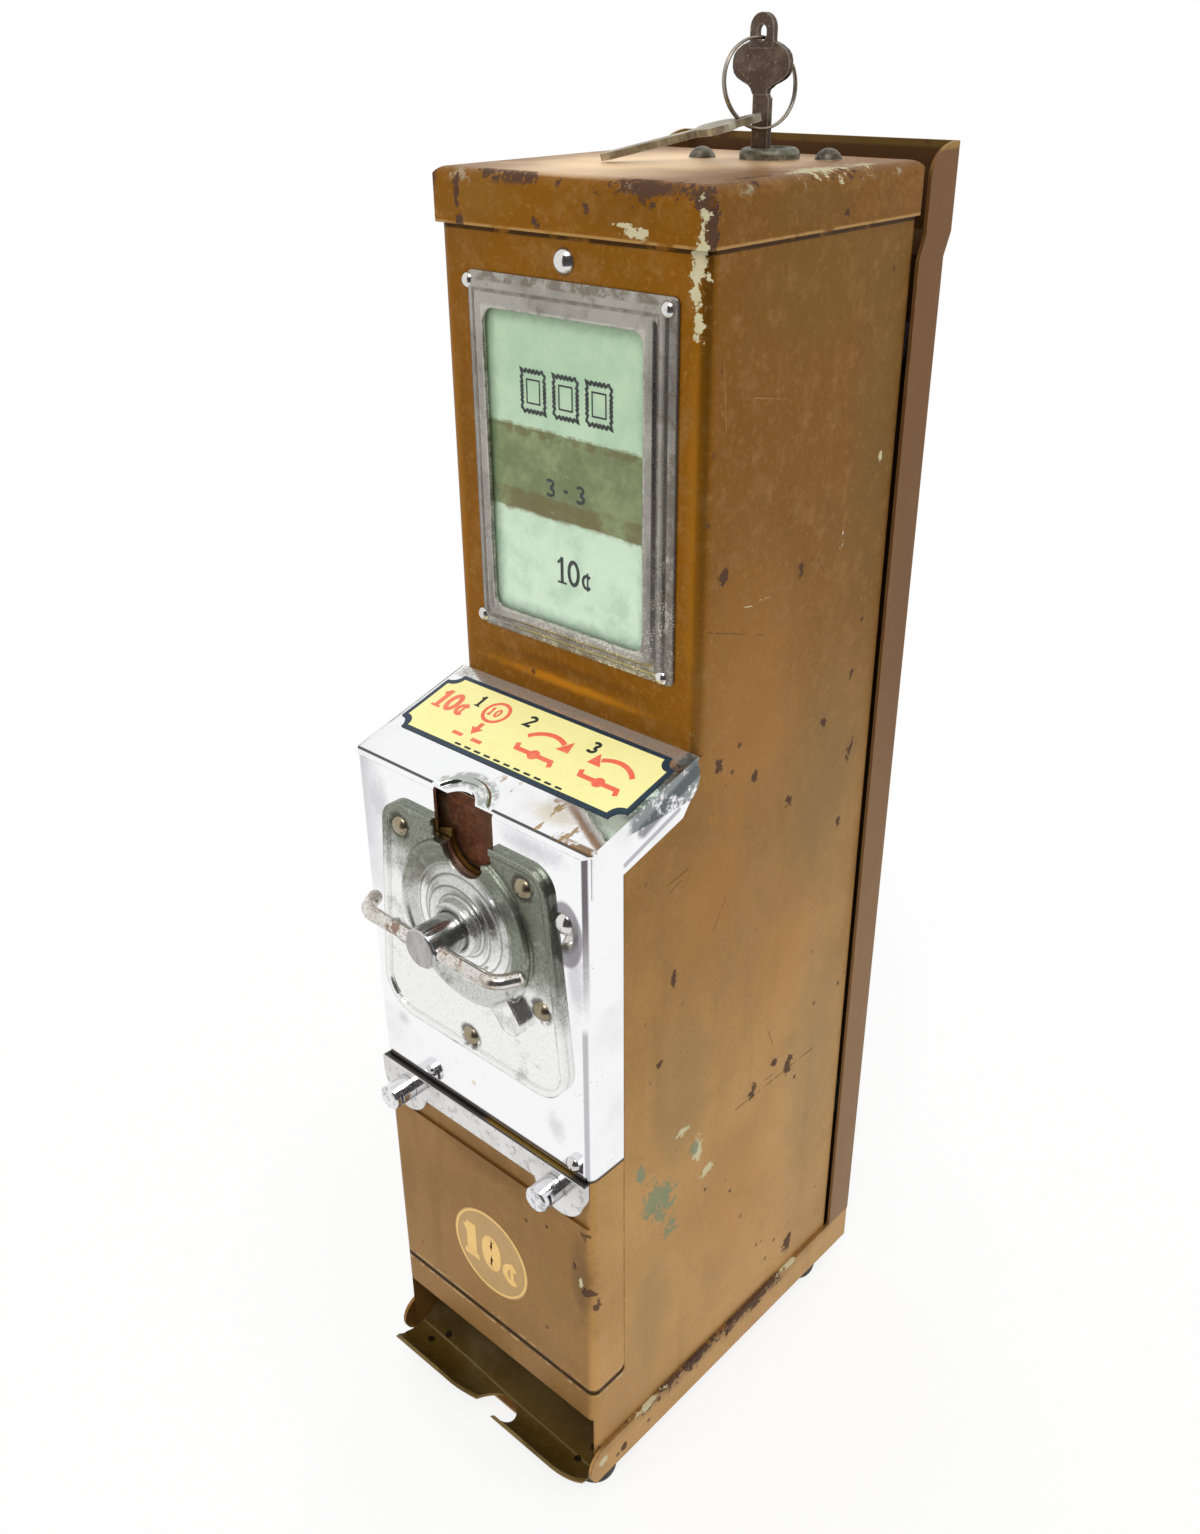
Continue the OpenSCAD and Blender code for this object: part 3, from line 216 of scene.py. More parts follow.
def bronzePaint(name, chips=(), pale=(), green=(), scratches=(), smudgesAndPaintedLight=(), rim=None, edge=0.55, shift=0.0,
                # golden-bronze enamel with stained and chipped places: darker and redder high up, lighter lower down
                # partly from dust and partly as painted light from the floor, with the front and the side painted as
                # differently lit copies
                ledge=None, skirt=None):
    # golden-bronze enamel: darker and redder high up, dusty lower down, with stained and chipped places
    f = Finish(name)
    cloud = f.noise(11, 5, 0.62, shift=shift)
    fine = f.noise(150, 4, 0.65, shift=3)
    grain = f.noise(1100, 2, 0.5, shift=7)
    # painted light: the front and the side each get their own pair of colours for how the light falls on them, both
    # lighter lower down partly as painted floor light
    front = f.mix(f.rise(f.z, 150, 300), linear(bronze["frontLow"]), linear(bronze["frontHigh"]))
    side = f.mix(f.rise(f.z + (cloud - 0.5) * 60, 95, 385), linear(bronze["sideLow"]), linear(bronze["sideHigh"]))
    f.base = f.mix(f.rise(f.x, 47, 50.4), front, side)
    f.tint(f.rise(cloud, 0.38, 0.72) * 0.30, bronze["shade"])
    f.tint(f.rise(fine, 0.46, 0.72) * 0.22, bronze["patch"])
    f.tint(f.patches(0.5, 0.72, 48, 5, 0.7, shift=37 + shift) * 0.18, bronze["mottle"])
    f.tint(f.patches(0.55, 0.8, 60, 4, 0.6, stretch=(1, 1, 0.12), shift=9 + shift) * 0.28, bronze["shade"])
    f.tint(f.patches(0.52, 0.72, 640, 3, 0.6, shift=17) * 0.16, bronze["dust"])
    f.tint(f.patches(0.52, 0.72, 900, 3, 0.6, shift=27) * 0.22, bronze["pore"])
    # ragged spots: stains, and also painted highlights and painted shade
    for at, radius, squash, colour, amount in smudgesAndPaintedLight:
        f.tint(f.spot(at, radius, fine, 0.5, squash, 0.2) * amount, colour)
    speck = (1 - f.rise(f.cells(120, 5), 0.06, 0.16)) * f.patches(0.58, 0.64, 30, 2, shift=19)
    f.tint(speck * 0.8, bronze["bare"])
    ragged = f.noise(330, 5, 0.75, shift=31)
    wide = f.noise(95, 3, 0.6, shift=33)
    torn = ragged * 0.6 + wide * 0.4
    worn = f.edges(1.1, 0.05, 0.25) * f.rise(torn, 0.46, 0.54) * edge
    f.tint(worn * 0.85, bronze["worn"])
    # painted highlight: a paler colour in patches along the rounded edges
    bright = f.edges(0.6, 0.14, 0.4) * f.patches(0.54, 0.64, 260, 3, 0.6, shift=29) * edge
    f.tint(bright * 0.8, bronze["bright"])
    bare = (speck * 0.6).most(worn * 0.7)
    if skirt:
        # a painted shadow on the case under the cap's skirt, or a painted highlight along the lower edge of the skirt
        # itself
        f.tint(f.band(f.z, skirt["low"], skirt["high"], 0.5) * f.rise(wide + 0.2, 0.5, 0.68) * skirt["amount"],
               skirt["colour"])
    if ledge:
        # painted shade in the gap along an edge, with a painted highlight on the rolled lip beside it
        near = 1 - f.rise(f.y, 14.5, 16.2)
        f.tint(f.band(f.z, *ledge["gapShade"], 0.35) * f.rise(wide + 0.25, 0.5, 0.65) * near * 0.8, bronze["gapShade"])
        f.tint(f.band(f.z, *ledge["lipHighlight"], 0.25) * f.rise(torn, 0.49, 0.54) * near * 0.7, bronze["lipHighlight"])
    if rim:
        # the cap's top face is painted a pale tan, standing for the light that falls on it from above, least so near
        # its edges
        litTop = f.rise(f.z, rim["z"] - 1.2, rim["z"] - 0.3) * f.spot((-8, 92, 447), 62, cloud, 0.6, (1, 0.85, 1), 0.25)
        f.tint(litTop * 0.92, bronze["litTop"])
        # along the rolled top edge the paint is broken through to dark metal, grey where it is rubbed
        along = f.rise(f.z, rim["z"] - 4.2, rim["z"] - 2.2)
        outer = f.rise(abs(f.x), rim["x"] - 5.5, rim["x"] - 3.0).most(1 - f.rise(f.y, rim["y"] + 3.0, rim["y"] + 5.5))
        corner = f.rise(abs(f.x), rim["x"] - 3.4, rim["x"] - 1.6) * (1 - f.rise(f.y, rim["y"] + 1.6, rim["y"] + 3.4))
        broken = (along * outer * f.rise(torn + (f.noise(34, 3, shift=61) - 0.5) * 0.45, 0.56, 0.585)).most(
            corner * f.rise(torn, 0.52, 0.56) * 0.8)
        rubbed = along * outer * f.patches(0.55, 0.6, 70, 4, 0.7, shift=65) * f.rise(ragged, 0.46, 0.56)
        f.tint(broken * 0.9, bronze["bare"])
        f.tint(rubbed * 0.75, bronze["rubbed"])
        bare = bare.most(broken).most(rubbed * 0.7)
    for colour, places in (("bare", chips), ("primer", pale), ("green", green)):
        for at, radius, squash in places:
            mask = f.spot(at, radius, torn, 4.2, squash, 0.9)
            f.tint(mask * 0.88, bronze[colour])
            bare = bare.most(mask)
    for start, stop, width, colour in scratches:
        mask = f.line(f.y, f.z, start, stop, width) * f.rise(f.x, 49, 50) * f.rise(fine, 0.38, 0.5)
        f.tint(mask * 0.8, colour)
        bare = bare.most(mask)
    bare = bare.least(1.0)
    height = cloud * 0.9 + fine * 0.16 + grain * 0.02 - bare * 0.10
    return f.feed(rough=0.34 + fine * 0.14 + cloud * 0.08 + bare * 0.28, metal=bronze["metal"] * (1 - bare),
                  normal=f.bump(height, 0.45, 0.9), level=0.12)


chrome = dict(tone="#f7f7f8", haze="#c4c2c4", pit="#5e5040", edge="#7a6a50", dull="#8b8876")


def chromePlate(name, haze, rust, stains, marks, dull=None):
    # mirror plating: fine scratches, haze where it is rubbed, small brown pits
    f = Finish(name, chrome["tone"])
    smear = f.noise(30, 4, 0.6)
    scratch = f.noise(500, 3, 0.6, stretch=(1, 1, 0.05), shift=5)
    pits = (1 - f.rise(f.cells(800, 9), 0.10, 0.25)) * f.patches(0.58, 0.68, 45, 4, 0.6, shift=13)
    worn = f.edges(0.6, 0.15, 0.45) * f.patches(0.52, 0.62, 260, shift=3) * rust
    f.tint(f.rise(smear, 0.45, 0.8) * 0.35, chrome["haze"])
    f.tint(pits * rust, chrome["pit"])
    f.tint(worn * 0.7, chrome["edge"])
    rough = 0.04 + f.rise(smear, 0.45, 0.8) * haze * 0.3 + f.rise(scratch, 0.55, 0.75) * 0.05 + pits * 0.3
    metal = 1 - (pits * rust * 0.6).least(1.0)
    ragged = f.noise(380, 5, 0.75, shift=41) * 0.55 + f.noise(80, 3, 0.6, shift=45) * 0.45
    for at, radius, squash, colour, amount in stains:
        mask = f.spot(at, radius, ragged, 0.8, squash, 0.2) * amount
        f.tint(mask, colour)
        rough = rough + mask * 0.25
        metal = metal - mask * 0.5
    if dull:
        # a dull, speckled strip across the slope between two depths
        speckle = f.noise(1500, 3, 0.7, shift=43)
        mask = f.band(f.y, dull["near"], dull["far"], dull["soft"]) * dull["amount"]
        mask = mask * (0.35 + 0.65 * f.rise(speckle + (ragged - 0.5), 0.42, 0.6))
        mask = mask * (1 - f.rise(abs(f.x), 49.2, 50.4))
        f.tint(mask, chrome["dull"])
        rough = rough + mask * 0.3
        metal = metal - mask * 0.45
    for colour, amount, mask in marks(f, ragged):
        f.tint(mask * amount, colour)
        rough = rough + mask * 0.12
    height = scratch * 0.1 + f.noise(16, 2, shift=17) * 1.2 - pits * 0.3
    return f.feed(rough=rough, metal=metal.most(0.0), normal=f.bump(height, 0.06, 0.4))


def slopeMarks(f, ragged):
    # painted shade in the gap before the front plate's rolled top, a grey-green band round the arch, and painted dark
    # reflections streaked down the flared right wing
    onTop = f.rise(f.z, 276.8, 277.1)
    # painted shade in the seam's gap
    gap = f.band(f.y, 1.1, 1.9, 0.25) * onTop * (1 - f.band(f.x, -14.5, 11.5, 0.2))
    away = ((f.x + 1.5) ** 2.0 + (f.y + 3.0) ** 2.0) ** 0.5
    arch = f.band(away, 8.5, 14.0, 1.2) * onTop * f.rise(ragged, 0.42, 0.55)
    wing = f.rise(f.x, 50.6, 51.2)
    # painted dark reflections down the wing
    broad = f.line(f.y, f.z, (24, 276), (48.5, 286), 3.6) * wing * f.rise(ragged, 0.38, 0.5)
    thin = f.line(f.y, f.z, (16, 268), (40, 276), 1.2) * wing
    corner = f.rise(f.x, 46.5, 48.5) * f.rise(f.y, 16, 20) * onTop * f.rise(ragged, 0.42, 0.5)
    streaks = f.patches(0.585, 0.61, 120, 4, 0.7, stretch=(1, 0.35, 1), shift=71)
    brown = f.band(f.y, 2.5, 13.5, 2.0) * onTop * f.band(f.x, 6, 40, 5) * streaks
    rust = f.band(f.y, 2.0, 3.6, 0.8) * onTop * f.rise(f.x, 34, 44) * f.rise(ragged, 0.47, 0.52)
    return (("#1d1a1a", 0.9, gap), ("#8b9488", 0.7, arch), ("#55525c", 0.75, broad), ("#7d7a82", 0.6, thin),
            ("#3c4a4a", 0.75, corner), ("#8a6420", 0.85, rust), ("#a8823e", 0.8, brown))


def frontMarks(f, ragged):
    # painted dark reflections down the right and left bends, painted shade on the foot above the strap, and a painted
    # dark reflection round the side screw
    outside = 1 - f.rise(f.y, 1.2, 2.2)
    # painted dark reflections down the bends
    bend = f.band(f.x, 49.1, 50.1, 0.45) * f.rise(f.z, 213, 260) * outside
    lower = f.band(f.x, 48.6, 49.6, 0.5) * (1 - f.rise(f.z, 213, 217)) * outside
    leftBend = (1 - f.rise(f.x, -50.2, -49.4)) * f.rise(f.z, 236, 250) * outside
    # painted shade on the foot, then a painted dark reflection round the side screw
    foot = (1 - f.rise(f.z, 154.8, 155.6)) * f.rise(f.x, -49, -47)
    halo = f.band(f.off(42.3, 247.5, 1.7), 6.0, 10.5, 1.8)
    left = f.rise(f.z, 215, 268) * (1 - f.rise(f.x + (ragged - 0.5) * 8, -50, -36))
    return (("#564a54", 0.9, bend), ("#8d8a90", 0.6, lower), ("#3a3638", 0.8, leftBend), ("#2a2624", 0.9, foot),
            ("#6a666e", 0.75, halo), ("#a09ca4", 0.5, left))


casting = dict(rivets=[(-29, 257.5), (26.5, 257.5), (-32.6, 215.5), (32.6, 215.5), (-1, 188.2)], ringPitch=1.9,
               rounding=1.4, shaft=(0, 233.3), bright="#f2f2f0", dull="#85887a", pit="#5c5e50", speck="#b7b9ab",
               edge="#e4e4e0", dirt="#3c3a30", groove="#6a6c60")


def polishedCasting(name):
    # the coin plate: plated casting, bright at its foot and rings, partly as painted reflection of the white floor, and
    # pitted grey-green at its top and right, darker there partly as painted shade
    f = Finish(name)
    pit = f.noise(1300, 4, 0.7)
    wide = f.noise(70, 4, 0.65, shift=5)
    raised = f.edges(0.9, 0.05, 0.35)
    far = f.off(*casting["shaft"])
    ringed = 1 - f.rise(far, 20.5, 22.5)
    high = f.rise(f.z + f.x * 0.35 + (wide - 0.5) * 34, 222, 243) * (1 - ringed * 0.6)
    dulled = (high + f.rise(wide, 0.56, 0.7) * 0.35 + f.band(far, 22.5, 27, 2.5) * 0.4).least(1.0)
    # painted reflection and shade: near white low down, grey-green and darker higher up and to the right
    f.base = f.mix(dulled, linear(casting["bright"]), linear(casting["dull"]))
    f.tint(f.rise(pit, 0.48, 0.62) * (0.12 + dulled * 0.45), casting["pit"])
    f.tint(f.patches(0.56, 0.66, 260, 4, 0.7, shift=15) * 0.45 * dulled, casting["speck"])
    f.tint(raised * 0.5, casting["edge"])
    for x, z in casting["rivets"]:
        f.tint((1 - f.rise(f.off(x, z), 3.9, 5.6)) * f.patches(0.36, 0.5, 300, shift=x) * 0.85, casting["dirt"])
    # darker bands lie in the turned grooves round the shaft
    drift = f.noise(1, 2, 0.5, shift=0.2)
    rings = f.node("ShaderNodeMath", {"operation": "SINE"}, {0: far * casting["ringPitch"]})
    f.tint(f.rise(rings, 0.55, 0.95) * ringed * (0.35 + drift * 0.5), casting["groove"])
    rough = 0.13 + dulled * 0.17 + f.rise(pit, 0.45, 0.65) * (0.05 + dulled * 0.15) - raised * 0.06
    height = pit * (0.2 + dulled) + wide * 2.0 + rings * ringed * 0.8
    return f.feed(metal=0.97, rough=rough, normal=f.bump(height, 0.09, 0.6, f.rounded(casting["rounding"])))


zincTones = dict(film="#7d7c66", edge="#c9c9c2", rust="#5a3a22")


def castZinc(name, dark="#6f6f62", light="#a9a99c", rough=0.42, brown=0.0):
    # pitted die casting, polished where hands and edges touch
    f = Finish(name)
    pit = f.noise(520, 4, 0.65)
    wide = f.noise(60, 4, 0.6, shift=5)
    raised = f.edges(1.0, 0.05, 0.35)
    f.base = f.mix(f.rise(pit, 0.35, 0.65), linear(dark), linear(light))
    f.tint(f.rise(wide, 0.45, 0.7) * 0.4, zincTones["film"])
    f.tint(raised * 0.55, zincTones["edge"])
    if brown:
        f.tint(f.patches(0.45, 0.62, 45, 4, 0.7, shift=9) * brown, zincTones["rust"])
    return f.feed(metal=0.85, rough=rough + pit * 0.22 - raised * 0.18, normal=f.bump(pit + wide * 0.4, 0.25, 0.7))


def wornNickel(name, base, stain="#6e5b48", white=0.0, rough=0.2, brown=0.35, dark="#6f6b64", marks=None):
    # plating gone cloudy, with brown stain in the low spots and fine pale pitting
    f = Finish(name, base)
    cloud = f.noise(55, 4, 0.6)
    pit = f.noise(1700, 3, 0.65, shift=4)
    f.tint(f.rise(cloud, 0.4, 0.72) * 0.5, dark)
    f.tint(f.patches(0.54, 0.66, 190, 5, 0.7, shift=8) * brown, stain)
    f.tint(f.edges(0.6, 0.08, 0.4) * 0.5, "#dcd9d2")
    metal = 0.98
    if white:
        low = 1 - f.rise(f.z - f.x * 0.5 + (cloud - 0.5) * 30, 300, 342)
        speck = f.rise(pit, 0.50, 0.58) * f.patches(0.40, 0.56, 160, 4, 0.7, shift=15)
        speck = speck * (0.10 + low * 0.9) * white
        f.tint(speck, "#e2dfd6")
        metal = metal - speck * 0.4
    for colour, amount, mask in (marks(f, cloud) if marks else ()):
        f.tint(mask * amount, colour)
        metal = metal - mask * (amount * 0.4)
    return f.feed(metal=metal, rough=rough + cloud * 0.12 + f.rise(pit, 0.5, 0.7) * 0.08,
                  normal=f.bump(pit * 0.35 + cloud, 0.05, 0.5, f.rounded(0.5)))


def mouldingMarks(f, cloud):
    # brown dirt in the groove and against the case, a darker right and left rail, and a painted highlight along the
    # inner lip
    off = (abs(f.x) - 30.9).most(abs(f.z - 364.2) - 46.15)
    fine = f.noise(240, 4, 0.7, shift=51)
    groove = f.band(off, 4.3, 4.9, 0.4) * (0.55 + 0.45 * f.rise(fine, 0.4, 0.55))
    outer = f.rise(off, 6.6, 7.4) * f.rise(fine, 0.42, 0.56)
    rail = f.rise(abs(f.x) - (abs(f.z - 364.2) - 15.3), -1.5, 1.5)
    brushed = f.patches(0.36, 0.6, 180, 3, 0.6, stretch=(1, 1, 0.06), shift=53)
    # painted highlight along the inner lip
    lip = 1 - f.rise(off, 0.5, 1.0)
    return (("#4a3c2c", 0.6, groove), ("#5c4a34", 0.6, outer), ("#56504a", 0.55, rail * brushed),
            ("#c9c5bb", 0.5, lip * f.rise(fine, 0.4, 0.55)))


def handleMarks(f, cloud):
    # the underside is painted darker as shade, and the plating is worn to brown near the bends
    under = 1 - f.rise(f.z + (cloud - 0.5) * 1.2, 231.6, 233.2)
    bends = f.band(abs(f.x), 8, 16, 2) + f.band(abs(f.x), 24, 36, 3) * 0.6
    worn = (f.patches(0.52, 0.57, 190, 5, 0.75, shift=73) * bends).least(1.0)
    pits = f.patches(0.56, 0.62, 900, 3, 0.7, shift=75)
    return ("#5e574f", 0.6, under), ("#7a4e2c", 0.8, worn), ("#5a5048", 0.5, pits)


def knobMarks(f, cloud):
    # painted blue-grey shade round the lower half of each knob behind its face, and a scuffed rim
    side = (1 - f.rise(f.z, 144.6, 147.6)) * f.rise(f.y, -11.1, -10.7)
    rim = f.band(f.y, -11.4, -10.9, 0.2) * f.patches(0.5, 0.6, 500, 3, 0.7, shift=77)
    return ("#3c4048", 0.75, side), ("#8a8682", 0.6, rim)


def shaftMarks(f, cloud):
    # a grey, scuffed end face
    face = 1 - f.rise(f.y, -20.9, -20.5)
    scuffed = f.patches(0.46, 0.6, 420, 4, 0.7, stretch=(1, 1, 0.3), shift=79)
    return ("#a9a6a2", 0.8, face), ("#86827c", 0.6, face * scuffed)


def strapMarks(f, cloud):
    # painted shade on the strap's top edge where it lies in the gap under the front plate, with a brown band in that
    # gap at the right
    gap = f.rise(f.z, 153.0, 153.5) * f.rise(f.y, -2.05, -1.8)
    gapBrown = gap * f.band(f.x, 6, 40, 6) * f.rise(f.y + cloud, -0.9, -0.5)
    edge = (1 - f.rise(f.y, -2.15, -2.0)) * f.patches(0.56, 0.64, 300, 4, 0.7, shift=57)
    return ("#1b1816", 0.95, gap), ("#8a6a24", 0.8, gapBrown), ("#7d776c", 0.5, edge)


def millSteel(name):
    # rolled sheet: faint lines from the rolls, a little rust, rubbed edges
    f = Finish(name, "#8b8b88")
    roll = f.noise(240, 3, 0.5, stretch=(1, 0.06, 1))
    f.tint(f.rise(roll, 0.35, 0.7) * 0.4, "#5f5f5c")
    f.tint(f.patches(0.55, 0.72, 35, 4, 0.6, shift=6) * 0.15, "#6b4a30")
    f.tint(f.edges(0.6, 0.1, 0.4) * 0.4, "#b8b8b4")
    return f.feed(metal=0.9, rough=0.38 + roll * 0.15, normal=f.bump(roll, 0.04, 0.4))


def agedBrass(name):
    # yellow where rubbed, brown elsewhere
    f = Finish(name)
    cloud = f.noise(55, 4, 0.6)
    f.base = f.mix(f.rise(cloud, 0.35, 0.7), linear("#a8843f"), linear("#5e4422"))
    f.tint(f.edges(0.6, 0.1, 0.4) * 0.6, "#d3b264")
    return f.feed(metal=0.95, rough=0.28 + cloud * 0.25, normal=f.bump(f.noise(500, 3, shift=2), 0.03, 0.4))


tray = dict(dark="#5e4616", light="#6e5628", fleck="#86703c", lip="#b39a66", deep="#2c2210", front="#7d6f4a",
            crease="#8e7f58", hole="#15110a", dust="#8a7c5c", holes=((-40, 0), (41, 1), (-36, 6), (43, 8)))


def darkBronze(name):
    # the tray: dark, with an olive cast, dust at its foot and a bright rubbed lip
    f = Finish(name)
    cloud = f.noise(45, 5, 0.65)
    fine = f.noise(420, 3, 0.6, shift=4)
    f.base = f.mix(f.rise(cloud, 0.35, 0.7), linear(tray["dark"]), linear(tray["light"]))
    f.tint(f.rise(fine, 0.5, 0.75) * 0.35, tray["fleck"])
    f.tint(f.edges(1.2, 0.06, 0.35) * f.patches(0.38, 0.6, 160, 3, 0.6, shift=9) * 0.8, tray["lip"])
    # painted shade: darker towards the back, where the tray runs in under the drawer
    f.tint(f.rise(f.y, 1, 9) * 0.7, tray["deep"])
    f.tint((1 - f.rise(f.y, -11, -6)) * 0.5, tray["front"])
    f.tint(f.band(f.y + (cloud - 0.5) * 2 + f.x * 0.03, 2.6, 3.1, 0.3) * 0.6, tray["crease"])
    for x, y in tray["holes"]:
        f.tint(f.spot((x, y, 10), 1.5, fine, 0.4, (1, 1, 0.3)) * 0.9, tray["hole"])
    f.tint(f.patches(0.5, 0.7, 30, shift=12) * (1 - f.rise(f.z, 10, 20)) * 0.3, tray["dust"])
    return f.feed(metal=0.55, rough=0.42 + fine * 0.2, normal=f.bump(fine + cloud * 0.6, 0.12, 0.6), level=0.12)


channel = dict(low="#8c6c48", high="#74502c", cloud="#6a4426", fleck="#94785a", brassy="#9c7c3c", inside="#2c1c12")


def channelPaint(name):
    # reddish-brown enamel, rubbed to a brass colour along its edges and its stepped top, with painted shade on its
    # inner face
    f = Finish(name)
    cloud = f.noise(12, 4, 0.6, stretch=(1, 1, 0.4))
    fine = f.noise(200, 3, 0.6, shift=3)
    f.base = f.mix(f.rise(f.z, 60, 380), linear(channel["low"]), linear(channel["high"]))
    f.tint(f.rise(cloud, 0.4, 0.75) * 0.4, channel["cloud"])
    f.tint(f.rise(fine, 0.55, 0.8) * 0.2, channel["fleck"])
    worn = f.edges(0.8, 0.06, 0.3) * f.patches(0.36, 0.6, 110, 4, 0.6, shift=13)
    top = f.rise(f.z, 448.6, 449.6) * f.patches(0.3, 0.5, 80, shift=21)
    f.tint(worn.most(top) * 0.8, channel["brassy"])
    # painted shade on the inner face, which faces the case
    facing = f.node("ShaderNodeSeparateXYZ", sockets={0: f.node("ShaderNodeNewGeometry", out=1)}, out=1)
    inside = (1 - f.rise(abs(f.x), 49.5, 50.5)) * f.rise(0 - facing, 0.4, 0.7)
    f.tint(inside * 0.5 * f.rise(f.z, 0, 20), channel["inside"])
    return f.feed(metal=0.4, rough=0.38 + fine * 0.2, normal=f.bump(cloud + fine * 0.2, 0.25, 0.6), level=0.2)


def tarnished(name, dark, light, amount):
    # key and lock metal, brown with a rubbed edge
    f = Finish(name)
    cloud = f.noise(150, 4, 0.65)
    fine = f.noise(900, 3, 0.6, shift=3)
    f.base = f.mix(f.rise(cloud, 0.4, 0.7) * amount, linear(dark), linear(light))
    f.tint(f.rise(fine, 0.55, 0.72) * 0.35, "#b0a898")
    f.tint(f.edges(0.6, 0.05, 0.3) * 0.65, "#c8c0b2")
    return f.feed(metal=0.85, rough=0.34 + cloud * 0.25, normal=f.bump(fine + cloud, 0.1, 0.6))


def blackRubber(name):
    # black with a grey bloom of dust
    f = Finish(name, "#161514")
    grain = f.noise(700, 3, 0.6)
    f.tint(f.patches(0.45, 0.7, 80, 4, 0.6, shift=5) * 0.5, "#4a4640")
    return f.feed(rough=0.6 + grain * 0.2, normal=f.bump(grain, 0.1, 0.6))


card = dict(low="#dbebd8", high="#bfd3b5", blotch="#9fc0a4", speck="#cfdcc6", bandLight="#808852", bandDark="#646b37",
            bandSpeck="#868f66", border="#6c5a26", rim="#6e8a68", fibre="#d8e2d0", band=(351.5, 376.5), middle=364.2)


def agedCard(name):
    # mint card with an olive band across its middle, brown at the band's borders and dark at the card's sides
    f = Finish(name)
    fibre = f.noise(700, 4, 0.7)
    blotch = f.noise(60, 5, 0.7, shift=3)
    small = f.noise(220, 5, 0.75, shift=13)
    height = f.z + (f.noise(90, 4, 0.7, shift=7) - 0.5) * 2.5 + f.x * 0.02
    low, high = card["band"]
    f.base = f.mix(f.rise(f.z, 325, 400), linear(card["low"]), linear(card["high"]))
    f.tint(f.rise(blotch, 0.42, 0.66) * 0.5, card["blotch"])
    f.tint(f.rise(small, 0.56, 0.7) * 0.35, card["speck"])
    stain = f.mix(f.rise(blotch + (small - 0.5) * 0.5, 0.36, 0.62), linear(card["bandLight"]), linear(card["bandDark"]))
    stain = f.mix(f.rise(small, 0.55, 0.68) * 0.4, stain, linear(card["bandSpeck"]))
    f.base = f.mix(f.band(height, low, high, 0.5) * 0.92, f.base, stain)
    lower = f.band(height + (small - 0.5) * 3, low, low + 5, 1.6) * f.rise(blotch, 0.30, 0.5)
    upper = f.band(height, high - 2, high + 0.7, 0.5) * f.rise(small, 0.42, 0.55)
    f.tint((lower * 0.75).most(upper * 0.6), card["border"])
    wander = (small - 0.5) * 7
    rimAway = f.rise(abs(f.x) + wander, 26.5, 31.5).most(f.rise(abs(f.z - card["middle"]) + wander, 41.5, 46.5))
    f.tint(rimAway * 0.45, card["rim"])
    f.tint(f.rise(fibre, 0.55, 0.75) * 0.2, card["fibre"])
    return f.feed(rough=0.75, normal=f.bump(fibre * 0.5 + blotch, 0.08, 0.5), level=0.2)


def foldedPaper(name):
    # card folders seen edge on: cream, with a fine line between leaves
    f = Finish(name, "#e8dfc4")
    fibre = f.noise(600, 3, 0.6)
    leaf = f.noise(1, 2, 0.5, stretch=(3, 3, 900), shift=4)
    f.tint(f.rise(leaf, 0.4, 0.65) * 0.5, "#b8a884")
    f.tint(f.rise(fibre, 0.5, 0.8) * 0.2, "#f4eedc")
    return f.feed(rough=0.8, normal=f.bump(leaf + fibre * 0.3, 0.1, 0.5))


def printed(name, colour, shade, rough=0.45):
    # a printed colour that has thinned and picked up dirt
    f = Finish(name, colour)
    wear = f.noise(260, 4, 0.7)
    f.tint(f.rise(wear, 0.5, 0.72) * 0.4, shade)
    f.tint(f.patches(0.45, 0.75, 60, shift=5) * 0.25, shade)
    return f.feed(rough=rough + wear * 0.1, normal=f.bump(wear, 0.03, 0.3))


def clearGlass(name):
    # window pane: see-through, with a mirror gloss that rises with the fifth power of the slant, alike on both faces
    f = Finish(name, "#f4fbf8").feed(rough=0.03, ior=1.45, metal=1.0)
    through = f.node("ShaderNodeBsdfTransparent", None, {"Color": (0.975, 0.985, 0.975, 1)})
    slant = f.node("ShaderNodeLayerWeight", None, {"Blend": 0.5}, out=1)
    gloss = slant ** 5.0 * 0.96 + 0.02
    dust = f.patches(0.5, 0.8, 90, 4, 0.65) * 0.03
    pane = f.node("ShaderNodeMixShader", None, {0: gloss + dust, 1: through, 2: f.shader.outputs[0]})
    f.tree.links.new(pane.socket, f.tree.nodes["Material Output"].inputs[0])
    return f


def onSide(*marks):
    # marks on the right side, each given by its place back and up, its radius and its squash back and up
    return [((51, back, up), radius, (1, squashBack, squashUp)) for back, up, radius, squashBack, squashUp in marks]


def sideSmudges(*marks):
    # stains on the right side, each given as for onSide, then by its colour and amount
    return [(*place, colour, amount) for *mark, colour, amount in marks for place in onSide(mark)]


